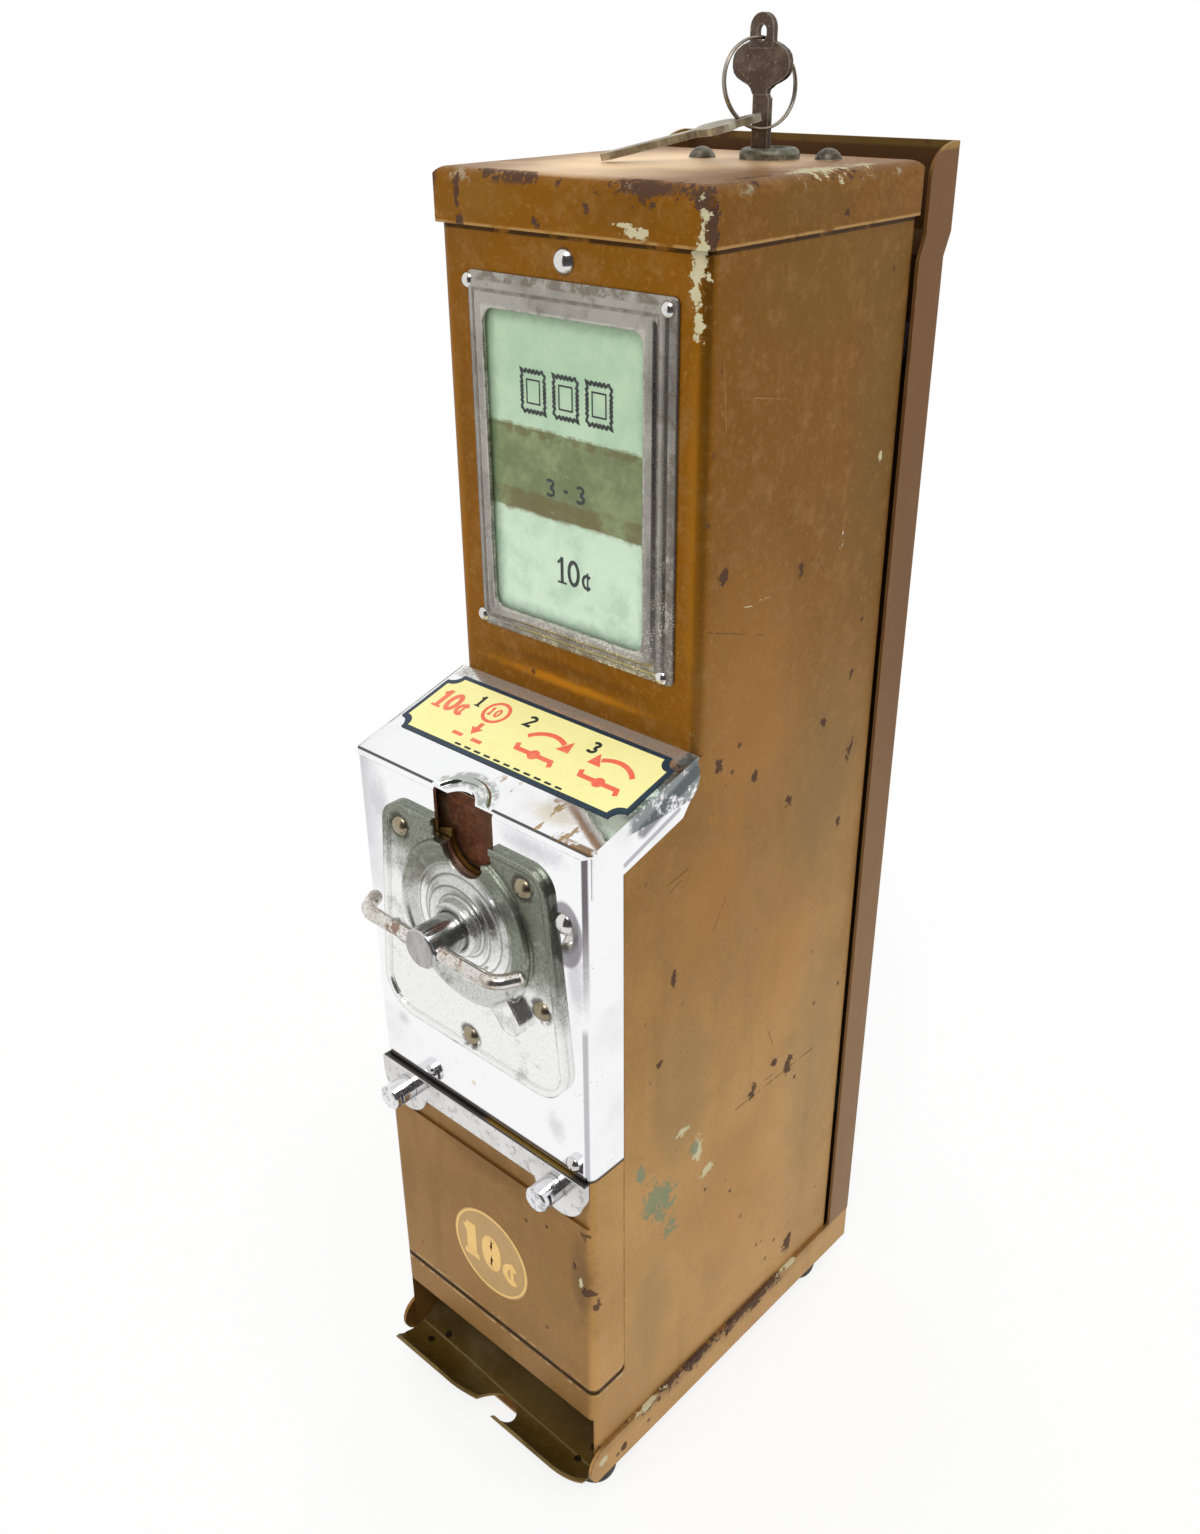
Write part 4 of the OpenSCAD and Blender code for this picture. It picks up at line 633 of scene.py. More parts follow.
olive, grey, tan = "#6a5826", "#7a6a44", "#b07c40"
caseMarks = dict(
    # skirt: a painted shadow on the case under the cap's skirt; ledge: painted shade in the gap along the drawer's
    # bottom edge, with a painted highlight on the lip below it
    skirt=dict(low=430.9, high=440, colour="#2a1a0a", amount=0.85), ledge=dict(gapShade=(52.9, 54.2), lipHighlight=(51.6, 52.6)),
    chips=onSide(
        (59, 343.8, 1.7, 1, 0.8), (97.5, 336.2, 2.2, 1, 0.7), (47, 381, 2.2, 1, 0.8), (131, 289.7, 1.5, 1, 0.8),
        (134, 260, 2.2, 1, 0.7), (116, 277, 1.2, 1, 0.7), (79, 272, 1.6, 1, 0.8), (60, 282.6, 1.5, 1, 0.8),
        (98.4, 253.8, 1.8, 1, 0.7), (130.5, 233, 1.4, 1, 0.6), (117.5, 36.6, 3.2, 1.5, 0.8), (34, 183, 1.4, 1, 0.8),
        (87, 137.6, 2.4, 1.2, 0.8), (108.8, 136.4, 2.6, 1.3, 0.7), (100, 142, 1.7, 1, 1), (40, 212.7, 2.0, 1.4, 0.6),
        (114, 126, 1.1, 1, 1), (76, 96, 1.2, 1, 1)),
    pale=[((47.5, 49, 427), 2.3, (1, 1, 0.45)), ((47.3, 49, 421), 1.7, (1, 1, 0.4)),
          ((47.4, 49, 413.8), 1.6, (1, 1, 0.6)), ((49, 47.5, 296.6), 1.2, (1, 1, 1)),
          *onSide((55, 131, 2.6, 1.2, 0.7), (61, 117.5, 3.0, 0.8, 1.5), (46, 145.5, 2.2, 0.8, 1.5),
                  (138, 362, 0.9, 1, 0.7))],
    green=onSide((33, 124.5, 5.2, 0.9, 0.62), (36.5, 114, 4.2, 0.8, 0.6), (40, 107, 3.4, 0.8, 0.8),
                 (24, 143, 2.2, 1, 0.6), (53, 133, 2.0, 1, 1)),
    scratches=[((119.6, 341.7), (118.5, 336.7), 0.45, "#e0dcc4"), ((120.8, 341.1), (119.6, 337.1), 0.4, "#e0dcc4"),
               ((77, 331.4), (82, 330.9), 0.3, "#c9bf98"), ((69.7, 331.3), (73.2, 330.6), 0.25, "#c9bf98"),
               ((52.5, 328.5), (65.4, 324.2), 0.22, "#4e3a1c"), ((65.4, 324.2), (79.5, 319.5), 0.2, "#5a4422"),
               ((76.9, 135), (125.5, 133.6), 0.35, "#4a3020"), ((90, 137.5), (112, 137), 0.3, "#553824"),
               ((35.9, 250.8), (46, 252.2), 0.3, "#5a3c18"), ((36, 247), (43, 249.5), 0.25, "#5a3c18"),
               ((95, 160), (99, 150), 0.25, "#6a4c24"), ((60, 222), (66, 232), 0.25, "#60421e"),
               ((56, 405), (58, 385), 0.2, "#9a7c4c"), ((70, 392), (90, 388), 0.18, "#a08250")],
    # the first two are painted highlights down the rounded front corners; the next two are a painted highlight and a
    # painted shade along a shallow crease across the front; the side marks after them are stains
    smudgesAndPaintedLight=[((47.4, 49.6, 358), 3.9, (1, 1, 0.05), "#a87018", 0.35),
             ((-47.4, 49.6, 358), 3.0, (1, 1, 0.04), "#a87018", 0.35),
             ((-2, 49, 297.5), 46, (1, 1, 19), "#c8841c", 0.7), ((-2, 49, 302.5), 46, (1, 1, 17), "#5c3a10", 0.45),
             *sideSmudges((75, 300, 34, 1, 0.55, tan, 0.30), (120, 250, 30, 1, 0.5, grey, 0.35),
                          (60, 235, 24, 1, 0.6, tan, 0.35), (100, 190, 30, 1, 0.6, tan, 0.30),
                          (45, 160, 22, 1, 0.5, grey, 0.32), (128, 130, 26, 1, 0.35, grey, 0.35),
                          (80, 90, 30, 1, 0.7, tan, 0.30), (30, 70, 18, 1.2, 0.5, grey, 0.30),
                          (136, 380, 26, 1.2, 0.3, olive, 0.35), (100, 420, 30, 0.6, 1, olive, 0.25))])
capMarks = dict(
    # skirt: a painted highlight along the lower edge of the skirt
    edge=0.85, shift=1.3, skirt=dict(low=431.5, high=432.5, colour="#c09a60", amount=0.6),
    rim=dict(z=447.2, x=51.6, y=47.5),
    chips=[((48.5, 48, 443.5), 3.0, (0.8, 1, 0.8)), ((30, 47.5, 446), 4.5, (0.35, 1, 1.3)),
           ((-0.7, 47.6, 445.6), 1.5, (0.8, 1, 1)), ((-39.4, 47.5, 433.6), 1.5, (1, 1, 0.8)),
           ((-21.8, 47.5, 446), 1.4, (0.8, 1, 1)), ((-9.6, 47.5, 434.4), 1.2, (0.8, 1, 1)),
           ((9.6, 47.5, 438.3), 0.9, (1, 1, 0.5)), ((-41, 47.5, 441), 2.6, (2.6, 1, 0.5)),
           ((45, 71, 446), 2.4, (1, 0.4, 1)), ((51.6, 48.8, 437.5), 2.6, (1, 1.3, 0.45)),
           ((51.6, 108, 436), 1.1, (1, 1, 0.8))],
    pale=[((49.2, 47.6, 437), 2.4, (1.5, 1.2, 0.36)), ((27, 47.6, 434.4), 2.2, (0.55, 1, 2.1)),
          ((22.5, 47.6, 436.0), 1.5, (0.5, 1, 2.3)), ((46.5, 106, 446), 4.6, (1, 0.35, 1.4))],
    smudgesAndPaintedLight=[((-30, 47.5, 440), 16, (1, 1, 2), "#8c6a2a", 0.35), ((20, 47.5, 440), 20, (1, 1, 2), "#744c12", 0.4),
             ((0, 95, 447), 40, (1, 1, 1), "#b08c5c", 0.3), ((51, 90, 440), 26, (1, 1, 3), olive, 0.3)])
drawerMarks = dict(
    # ledge: painted shade along the drawer's bottom edge, with a painted highlight on the lip just above it
    shift=2.1, ledge=dict(gapShade=(53, 55.2), lipHighlight=(55.8, 56.3)),
    chips=[((47.6, 0.4, 130), 1.9, (1, 1, 0.8)), ((42.9, 0, 112.7), 1.7, (0.9, 1, 1.1)),
           ((48.2, 1, 103.5), 2.0, (0.9, 1, 1.2)), ((49.6, 2.6, 97.5), 1.6, (0.8, 1, 0.8)),
           ((20, 0, 118), 0.7, (1, 1, 1)), ((30, 0, 122), 0.7, (1, 1, 1))],
    pale=[((45.6, 0, 107.3), 1.1, (1.6, 1, 0.5)), ((50, 4, 79), 1.2, (1, 1, 0.5))],
    # the wide band at 134 up, under the strap, is partly dirt and partly painted shade
    smudgesAndPaintedLight=[((46, 0, 108), 11, (1.6, 1, 0.4), "#5e4226", 0.5), ((0, 0, 134), 40, (1, 1, 3.4), "#6a4a20", 0.5),
             ((-44, 0, 100), 10, (1.3, 1, 0.35), "#7a5a2c", 0.35), ((20, 0, 62), 30, (1, 1, 3), "#7e5c30", 0.3)])
panMarks = dict(
    edge=1.0, shift=3.4,
    pale=[((52, 3, 17), 1.8, (1, 1, 1)), ((52, 30, 24.4), 2.0, (1, 0.25, 1)), ((52, 118, 24.4), 1.6, (1, 0.3, 1))],
    chips=[((52, 60, 23.5), 3.0, (1, 0.2, 1)), ((52, 90, 23.5), 4.0, (1, 0.2, 1)), ((52, 110, 20), 1.2, (1, 1, 1)),
           ((52, 14, 14), 1.4, (1, 1, 1)), ((52, 40, 24), 3.0, (1, 0.2, 1))],
    smudgesAndPaintedLight=[((52, 70, 24), 70, (1, 0.6, 9), "#5a4020", 0.45)])
slopeStains = [
    ((30, 9, 279), 9.0, (0.7, 1.6, 1), "#d8cba8", 0.5), ((46.5, 24, 283), 7.0, (1.8, 0.8, 1), "#6d8580", 0.85),
    ((48.5, 38, 287), 5.0, (1.4, 0.8, 1), "#b8923c", 0.7), ((50, 46, 289), 4.5, (1, 1, 1), "#55555c", 0.8),
    ((-46, 30, 284), 5.0, (2.2, 0.5, 1), "#8a8474", 0.6)]
frontStains = [
    ((46, 0, 232), 5.0, (1, 1, 0.3), "#a6a2a6", 0.5), ((30, 0, 272), 9.0, (0.5, 1, 1.6), "#b0adb4", 0.5),
    ((-40, 0, 262), 6.0, (1, 1, 0.5), "#b4b2b4", 0.45), ((-3, 0, 166), 1.8, (1, 1, 1), "#c8b070", 0.5),
    ((36, 0, 170), 6.0, (1, 1, 0.8), "#b0aeae", 0.4), ((-38, 0, 175), 4.0, (1, 1, 1), "#b0aeae", 0.4)]
frameNickel = wornNickel("nickelFrame", "#a5a198", "#5a4a3a", 0.85, 0.18, 0.35, "#66625c", mouldingMarks)
rivetNickel = wornNickel("nickelRivets", "#a3977e", "#54422e", 0.0, 0.2, 0.35, "#6c6150")

finishes = {
    bronzePaint("bronzePaintCase", **caseMarks): ["case_shell"], bronzePaint("bronzePaintCap", **capMarks): ["cap"],
    bronzePaint("bronzePaintDrawer", **drawerMarks): ["drawer_front"],
    bronzePaint("bronzePaintPan", **panMarks): ["base_pan"],
    chromePlate("chromeSlope", 0.45, 0.7, slopeStains, slopeMarks, dict(near=44.2, far=50, soft=1.2, amount=0.75)): [
        "shoulder_plate"],
    chromePlate("chromeFront", 0.4, 0.6, frontStains, frontMarks): ["front_plate"],
    polishedCasting("polishedCasting"): ["coin_plate"],
    castZinc("castZinc"): ["follower_weight"],
    castZinc("castZincRusty", "#4a2f20", "#6b4630", 0.6, 0.8): ["wheel_housing"],
    frameNickel: ["window_frame"], rivetNickel: ["coin_plate_rivets"],
    wornNickel("nickelScrews", "#dcdad6", rough=0.06, brown=0.12, dark="#a09c96"): [
        "window_screws", "sign_screw", "front_plate_screws", "channel_screws"],
    wornNickel("nickelHandle", "#e2dfd8", "#7a5636", 0.0, 0.1, 0.3, "#a8a096", handleMarks): ["handle_bar"],
    wornNickel("nickelStrap", "#dedddb", "#9a968c", 0.0, 0.09, 0.12, "#aeaca8", strapMarks): ["latch_strap"],
    wornNickel("nickelKnobs", "#e8e8ea", "#9a968c", 0.0, 0.05, 0.08, "#b6b6ba", knobMarks): [
        "left_latch_knob", "right_latch_knob"],
    wornNickel("nickelShaft", "#c6c6c8", "#8a8480", 0.0, 0.08, 0.15, "#9c9a9c", shaftMarks): ["handle_shaft"],
    wornNickel("nickelRing", "#a89c90", brown=0.4): ["key_ring"],
    millSteel("millSteel"): [
        "rear_spacers", "coin_chute", "lever_bracket", "lever_pivot", "magazine_shelf", "magazine_rails",
        "folder_chute", "drawer_runners", "lock_catch", "crank_disc", "shaft_nut", "bell_crank", "ejector",
        "lock_plate", "lock_cam", "coin_box"],
    agedBrass("agedBrass"): ["coin_wheel", "shaft_bush"],
    tarnished("rivetCap", "#4f463c", "#8c8678", 0.9): ["cap_rivets"],
    tarnished("keyMetal", "#54453c", "#7c6e60", 0.6): ["key"],
    tarnished("keyMetalSpare", "#8c8270", "#cac2ac", 0.85): ["spare_key"],
    tarnished("lockMetal", "#5c5a4c", "#9b9a8a", 0.9): ["lock_body"],
    tarnished("lockPlugMetal", "#2a2622", "#4b443c", 0.5): ["lock_plug"],
    channelPaint("channelPaint"): ["back_channel"], blackRubber("blackRubber"): ["rubber_feet"],
    darkBronze("darkBronze"): ["delivery_tray"], clearGlass("clearGlass"): ["window_glass"],
    agedCard("agedCard"): ["display_card"], foldedPaper("foldedPaper"): ["folder_stack", "bottom_folder"],
}
for finish, nodes in finishes.items():
    # a CAD node keeps its mesh and takes the finish
    for node in nodes:
        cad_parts[node].data.materials.clear()
        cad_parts[node].data.materials.append(finish.material)
print("finishes made")


def gridFaces(rows, cols, wrapRows=False, wrapCols=False):
    # the four corners of every cell of a grid, as whole arrays
    a, b = np.meshgrid(np.arange(rows if wrapRows else rows - 1), np.arange(cols if wrapCols else cols - 1),
                       indexing="ij")
    nextA, nextB = (a + 1) % rows, (b + 1) % cols
    corners = [a * cols + b, nextA * cols + b, nextA * cols + nextB, a * cols + nextB]
    return np.stack(corners, -1).reshape(-1, 4).tolist()


def addPiece(name, mesh):
    piece = bpy.data.objects.new(name, mesh)
    bpy.context.collection.objects.link(piece)
    return piece


def makePiece(name, parts, body, finish, smooth=True, stands=()):
    # parts are (points, faces) pairs; doubles are merged and the faces turned outwards
    starts = np.cumsum([0] + [points.size // 3 for points, _ in parts])
    faces = [[corner + int(start) for corner in face] for (_, found), start in zip(parts, starts) for face in found]
    spots = np.concatenate([points.reshape(-1, 3) for points, _ in parts]) * mm + [0, frontY, 0]
    mesh = bpy.data.meshes.new(name)
    mesh.from_pydata(spots.tolist(), [], faces)
    built = bmesh.new()
    built.from_mesh(mesh)
    bmesh.ops.remove_doubles(built, verts=built.verts, dist=1e-7)
    bmesh.ops.recalc_face_normals(built, faces=built.faces)
    built.to_mesh(mesh)
    built.free()
    if smooth:
        mesh.shade_smooth()
        mesh.set_sharp_from_angle(angle=math.radians(38))
    else:
        mesh.shade_flat()
    mesh.materials.append(finish.material)
    piece = addPiece(name, mesh)
    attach(piece, body)
    if stands:
        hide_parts(*stands)


def sweep(profile, path, across, up, closedPath):
    # each point of the path carries the profile: first number along across, second along up
    points = path[:, None, :] + profile[None, :, :1] * across[:, None, :] + profile[None, :, 1:] * up[:, None, :]
    rows, cols = points.shape[:2]
    faces = gridFaces(rows, cols, closedPath, True)
    if not closedPath:
        faces += [list(range(cols))[::-1], list(range((rows - 1) * cols, rows * cols))]
    return points, faces


def unit(vectors):
    # each vector divided by its own length
    return vectors / np.linalg.norm(vectors, axis=1)[:, None]


class Sheet:
    # a flat place on the machine to draw on: an origin and two directions, with the third standing out

    def __init__(self, origin, right=(1, 0, 0), up=(0, 0, 1)):
        self.origin, self.right, self.up = (np.array(v, float) for v in (origin, right, up))
        self.out = np.cross(self.right, self.up)

    def at(self, flat, height=0.0):
        # origin, plus the first number along right, the second along up and the height along out
        flat = np.asarray(flat, float)
        height = np.broadcast_to(np.asarray(height, float), flat.shape[:-1])
        return self.origin + flat[..., :1] * self.right + flat[..., 1:] * self.up + height[..., None] * self.out

    def stroke(self, path, width, low, high, closed=False):
        # a flat strip of even width along a path: its corner offsets are the mean of the two sides' normals
        path = np.asarray(path, float)
        ahead = np.roll(path, -1, 0) - path
        if not closed:
            ahead[-1] = ahead[-2]
        behind = np.roll(ahead, 1, 0)
        if not closed:
            behind[0] = ahead[0]
        ahead, behind = unit(ahead), unit(behind)
        mean = unit(ahead + behind)
        stretch = 1 / np.clip((mean * ahead).sum(1), 0.5, 1)
        side = np.stack([-mean[:, 1], mean[:, 0]], 1) * stretch[:, None]
        profile = np.array([[-width / 2, low], [width / 2, low], [width / 2, high], [-width / 2, high]])
        across = side[:, :1] * self.right + side[:, 1:] * self.up
        return sweep(profile, self.at(path), across, np.broadcast_to(self.out, across.shape), closed)

    def plate(self, outline, low, high, rings=2, wave=None):
        # a filled shape: every ring is the outline drawn in towards its middle, on both faces
        outline = np.asarray(outline, float)
        middle = (outline.max(0) + outline.min(0)) / 2
        share = np.linspace(0, 1, rings)[:, None, None]
        flat = middle + (outline - middle)[None] * share
        lift = wave(flat) if wave else np.zeros(flat.shape[:-1])
        points = np.concatenate([self.at(flat, high + lift), self.at(flat, low + lift)[::-1]])
        return points, gridFaces(points.shape[0], points.shape[1], False, True)


def arcPath(centre, across, tall, start, stop, steps=24):
    # centre, plus across times the cosine and tall times the sine of an even turn
    turn = np.radians(np.linspace(start, stop, steps))
    return np.stack([centre[0] + across * np.cos(turn), centre[1] + tall * np.sin(turn)], 1)


def joinArcs(arcs, between):
    # a closed ring of arcs, each joined to the next by evenly spaced points on a straight line
    ring = []
    for arc, following in zip(arcs, arcs[1:] + arcs[:1]):
        share = np.linspace(0, 1, between)[1:-1, None]
        ring += [arc, arc[-1] + (following[0] - arc[-1]) * share]
    return np.concatenate(ring)


def written(sheet, letters, foot, size, weight, low, high, lift=0.012):
    # numerals and a price sign drawn with strokes on a 0.62 by 1 body; crossing strokes differ by the lift
    w = size * weight
    bow = lambda x, y, across, tall, start, stop, steps=24: arcPath(
        (x * size, y * size), across * size, (tall - weight / 2) * size, start, stop, steps)
    line = lambda *ends: np.array(ends) * size
    strokes = {
        "0": [(bow(0.3, 0.5, 0.3 - weight / 2, 0.5, 0, 348, 30), 1, True)],
        "1": [(line((0.2, 0), (0.2, 1)), 1, False), (line((0, 0.76), (0.2, 1 - weight * 0.4)), 0.7, False),
              (line((-0.02, weight / 4), (0.42, weight / 4)), 0.5, False)],
        "2": [(np.concatenate([bow(0.26, 0.72, 0.24, 0.28, 165, -40, 16),
                               line((0.04, weight / 2), (0.52, weight / 2))]), 1, False)],
        "3": [(bow(0.27, 0.74, 0.23, 0.26, 150, -90), 1, False), (bow(0.27, 0.28, 0.27, 0.28, 90, -150), 1, False)],
        "-": [(line((0.1, 0.5), (0.4, 0.5)), 1, False)],
        "c": [(bow(0.22, 0.32, 0.2, 0.24 + weight / 2, 45, 315), 0.8, False),
              (line((0.25, 0), (0.25, 0.68)), 0.5, False)]}
    return [sheet.stroke(path + (x, foot), w * share, low + lift * k, high + lift * k, closed)
            for letter, x in letters for k, (path, share, closed) in enumerate(strokes[letter])]


label = dict(left=-49.6, right=49.4, front=15.4, rear=44.4, notch=4.2, border=1.7, thick=0.22, rise=13.5, run=49.0,
             lowZ=277.0, row=31.6, ink=0.07)
slopeTurn = math.atan2(label["rise"], label["run"])
slope = Sheet((0, 0, label["lowZ"]), (1, 0, 0), (0, math.cos(slopeTurn), math.sin(slopeTurn)))


def notchedOutline(inset, steps=9):
    # a rectangle whose corners are scooped out by quarter circles about the corner points
    left, right = label["left"] + inset, label["right"] - inset
    front, rear = (label[key] / math.cos(slopeTurn) + way * inset for key, way in (("front", 1), ("rear", -1)))
    corners = [((right, rear), 180), ((left, rear), 270), ((left, front), 0), ((right, front), 90)]
    return joinArcs([arcPath(corner, label["notch"], label["notch"], start + 90, start, steps)
                     for corner, start in corners], 14)


def labelWave(flat):
    # a slow ripple, as of paper that has lifted a little: sine along times cosine across
    return 0.05 * np.sin(flat[..., 0] * 0.23 + 1) * np.cos(flat[..., 1] * 0.31)


def arrowHead(sheet, tip, ahead, size, low, high):
    # a filled triangle with its point at tip + size along ahead
    tip, ahead = np.array(tip), np.array(ahead) / np.hypot(*ahead)
    cross = np.array([-ahead[1], ahead[0]])
    return sheet.plate([tip + cross * size * 0.75, tip - cross * size * 0.75, tip + ahead * size], low, high)


redInk = printed("redInk", "#ee6a50", "#f09a72")
blackInk = printed("blackInk", "#1c2420", "#3a4238", 0.5)
thick, row = label["thick"], label["row"]
makePiece("labelBorder", [slope.plate(notchedOutline(0), 0.02, thick, 3, labelWave)], "case",
          printed("navyInk", "#122c3e", "#2c4250", 0.35), False)
makePiece("labelField", [slope.plate(notchedOutline(label["border"]), thick + 0.01, thick + 0.09, 8, labelWave)],
          "case", printed("yellowLabel", "#f7f0a6", "#e9e08e", 0.38), False)

# three numbered steps: a coin over its slot, the handle turned one way, the handle turned back
ink = dict(low=thick + 0.1, high=thick + 0.1 + label["ink"])
coinX = -20.5
redMarks = written(slope, (("1", -44.6), ("0", -40.6), ("c", -34.6)), row - 2.6, 9.0, 0.2, **ink)
redMarks.append(slope.stroke(arcPath((coinX, row + 4.6), 4.6, 4.6, 0, 350, 36), 1.2, closed=True, **ink))
redMarks += written(slope, (("1", -23.4), ("0", -21.0)), row + 2.6, 4.0, 0.2, **ink)
redMarks.append(slope.stroke([(coinX, row - 1.6), (coinX, row - 4.4)], 1.6, **ink))
redMarks.append(arrowHead(slope, (coinX, row - 4.2), (0, -1), 3.2, **ink))
for start in (-27.0, -18.4):
    redMarks.append(slope.stroke([(start, row - 9.2), (start + 4.4, row - 9.2)], 1.4, **ink))
for side, middleX in ((1, 5.5), (-1, 32.5)):
    hub = np.array([middleX, row - 5.2])
    redMarks.append(slope.plate(arcPath(hub, 2.1, 2.1, 0, 350, 36), **ink))
    redMarks.append(slope.stroke([hub + (-8.4, 2.2), hub + (-7.4, 0), hub + (7.4, 0), hub + (8.4, -2.2)], 1.7,
                                 ink["low"] + 0.012, ink["high"] + 0.012))
    redMarks.append(slope.stroke(arcPath(hub, 10.4, 10.0, 90 + side * 52, 90 - side * 34, 22), 1.7, **ink))
    tip = math.radians(90 - side * 36)
    redMarks.append(arrowHead(slope, hub + (10.4 * math.cos(tip), 10.0 * math.sin(tip)),
                              (side * math.sin(tip), -side * math.cos(tip)), 4.2, **ink))
blackMarks = written(slope, (("1", -30.6), ("2", -8.2), ("3", 19.0)), row + 4.0, 5.4, 0.2, **ink)
blackMarks += [slope.stroke([(x, 18.6), (x + 2.6, 18.6)], 0.8, **ink) for x in np.arange(-22, 24, 4.4)]
makePiece("labelMarks", redMarks, "case", redInk, False)
makePiece("labelSteps", blackMarks, "case", blackInk, False)
print("label made")

leaf = dict(half=(4.6, 5.8), middle=388.0, tooth=0.07, teeth=26, places=(-13.0, 0.0, 13.0), inner=(2.6, 3.4))
cardFace = Sheet((0, 48.55, 0))
cardMarks = written(cardFace, (("1", -4.6), ("0", -0.6), ("c", 5.6)), 331.5, 8.4, 0.14, 0.0, 0.06)
cardMarks += written(cardFace, (("3", -8.6), ("-", -2.0), ("3", 3.6)), 357.8, 5.6, 0.17, 0.0, 0.06)
for x in leaf["places"]:
    # a blank leaf with perforated edges: the outline steps in and out by a tooth
    turns = np.linspace(0, 2 * math.pi, 160, endpoint=False)
    reach = 1 / np.maximum(np.abs(np.cos(turns)) / leaf["half"][0], np.abs(np.sin(turns)) / leaf["half"][1])
    reach = reach * (1 + leaf["tooth"] * np.sin(turns * leaf["teeth"]))
    outline = np.stack([x + reach * np.cos(turns), leaf["middle"] + reach * np.sin(turns)], 1)
    inner = np.array([(-1, -1), (1, -1), (1, 1), (-1, 1)]) * leaf["inner"] + (x, leaf["middle"])
    cardMarks += [cardFace.stroke(outline, 0.85, 0.0, 0.05, True), cardFace.stroke(inner, 0.5, 0.0, 0.05, True)]
makePiece("cardPrint", cardMarks, "case", blackInk, False)

disc = dict(centre=(0.3, 88.0), radius=19.0, ring=0.9, thick=0.1, ink=0.06)
drawerFace = Sheet((disc["centre"][0], 0, disc["centre"][1]))
gold = dict(low=disc["thick"], high=disc["thick"] + disc["ink"])
circle = arcPath((0, 0), disc["radius"], disc["radius"], 0, 354, 60)
makePiece("priceDisc", [drawerFace.plate(circle, 0.01, disc["thick"], 4)], "coin_drawer",
          printed("discField", "#b08c52", "#9a763e", 0.42), False)
priceMarks = [drawerFace.stroke(circle * (1 - disc["ring"] / disc["radius"]), disc["ring"], closed=True, **gold)]
priceMarks += written(drawerFace, (("1", -13.4), ("0", -4.6)), -8.0, 16.5, 0.3, **gold)
priceMarks += written(drawerFace, (("c", 7.0),), -8.4, 15.5, 0.2, **gold)
makePiece("priceMarks", priceMarks, "coin_drawer",
          printed("discGold", "#e2b868", "#c89a4e", 0.36), False)
print("prints made")

# the section runs from the outer edge (share 0) to the opening (share 1), with its height off the case
moulding = dict(
    outer=(38.2, 53.4), outerZ=364.8, inner=(30.9, 46.15), innerZ=364.2, outerR=2.6, innerR=4.0, flangeShift=1.4,
    flange=(40.0, 55.2), flangeR=2.0, wall=49.0,
    section=[(0, 0.05), (0, 0.95), (0.03, 1.12), (0.10, 1.32), (0.20, 1.58), (0.29, 1.74), (0.33, 1.72), (0.36, 1.6),
             (0.40, 1.62), (0.44, 1.86), (0.50, 2.24), (0.56, 2.46), (0.62, 2.55), (0.80, 2.62), (0.93, 2.66),
             (0.97, 2.6), (1.0, 2.42), (1.0, 1.56), (0.78, 1.56), (0.78, 0.05)],
    flangeSection=[(0, 0.05), (0, 0.55), (0.04, 0.74), (0.1, 0.8), (1, 0.8), (1, 0.05)])


def roundedFrame(half, radius, middle):
    # an upright rectangle with round corners, as an even count of points for every size
    across, tall = half[0] - radius, half[1] - radius
    corners = zip([(across, tall), (-across, tall), (-across, -tall), (across, -tall)], (0, 90, 180, 270))
    return joinArcs([arcPath(corner, radius, radius, start, start + 90, 8) for corner, start in corners], 10) + middle


def frameBand(outer, inner, section):
    # a ring whose points go from the outer loop to the inner loop by the section's share, at its height
    section = np.array(section)
    flat = outer[:, None, :] + (inner - outer)[:, None, :] * section[None, :, :1]
    points = Sheet((0, moulding["wall"], 0)).at(flat, np.broadcast_to(section[:, 1], flat.shape[:2]))
    return points, gridFaces(*points.shape[:2], True, True)


outerLoop = roundedFrame(moulding["outer"], moulding["outerR"], (0, moulding["outerZ"]))
innerLoop = roundedFrame(moulding["inner"], moulding["innerR"], (0, moulding["innerZ"]))
flangeLoop = roundedFrame(moulding["flange"], moulding["flangeR"], (moulding["flangeShift"], moulding["outerZ"]))
insideLoop = outerLoop * 0.97 + (0, moulding["outerZ"] * 0.03)
makePiece("windowMoulding", [frameBand(outerLoop, innerLoop, moulding["section"]),
                             frameBand(flangeLoop, insideLoop, moulding["flangeSection"])],
          "case", frameNickel, True, ("window_frame",))
print("moulding made")

ring = dict(radius=12.0, wire=0.42, pitch=0.9, turns=2.0, start=-60, points=220)
ringPoints = np.array([v.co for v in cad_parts["key_ring"].data.vertices]) / mm - [0, frontY / mm, 0]
ringMiddle = ringPoints.mean(0)
# the ring's own plane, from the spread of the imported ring's points: the thinnest direction is its axis
ringAcross, _, ringAxis = np.linalg.svd(ringPoints - ringMiddle, full_matrices=False)[2]
if ringAxis[0] < 0:
    ringAxis = -ringAxis
ringUp = np.cross(ringAxis, ringAcross)
turn = math.radians(ring["start"]) + np.linspace(0, ring["turns"] * 2 * math.pi, ring["points"])
# the wire shifts by its own pitch over a short stretch half way, so that the two turns lie side by side
shift = ring["pitch"] * (np.clip(turn - turn[0] - 2 * math.pi + 0.5, 0, 1) - 0.5)
radial = np.cos(turn)[:, None] * ringAcross + np.sin(turn)[:, None] * ringUp
ringPath = ringMiddle + ring["radius"] * radial + shift[:, None] * ringAxis
wireProfile = arcPath((0, 0), ring["wire"], ring["wire"], 0, 330, 12)
makePiece("splitRing", [sweep(wireProfile, ringPath, radial, np.broadcast_to(ringAxis, radial.shape), False)],
          "lock", wornNickel("nickelSplitRing", "#a89c90", "#5c4c42", brown=0.5), True, ("key_ring",))
print("ring made")

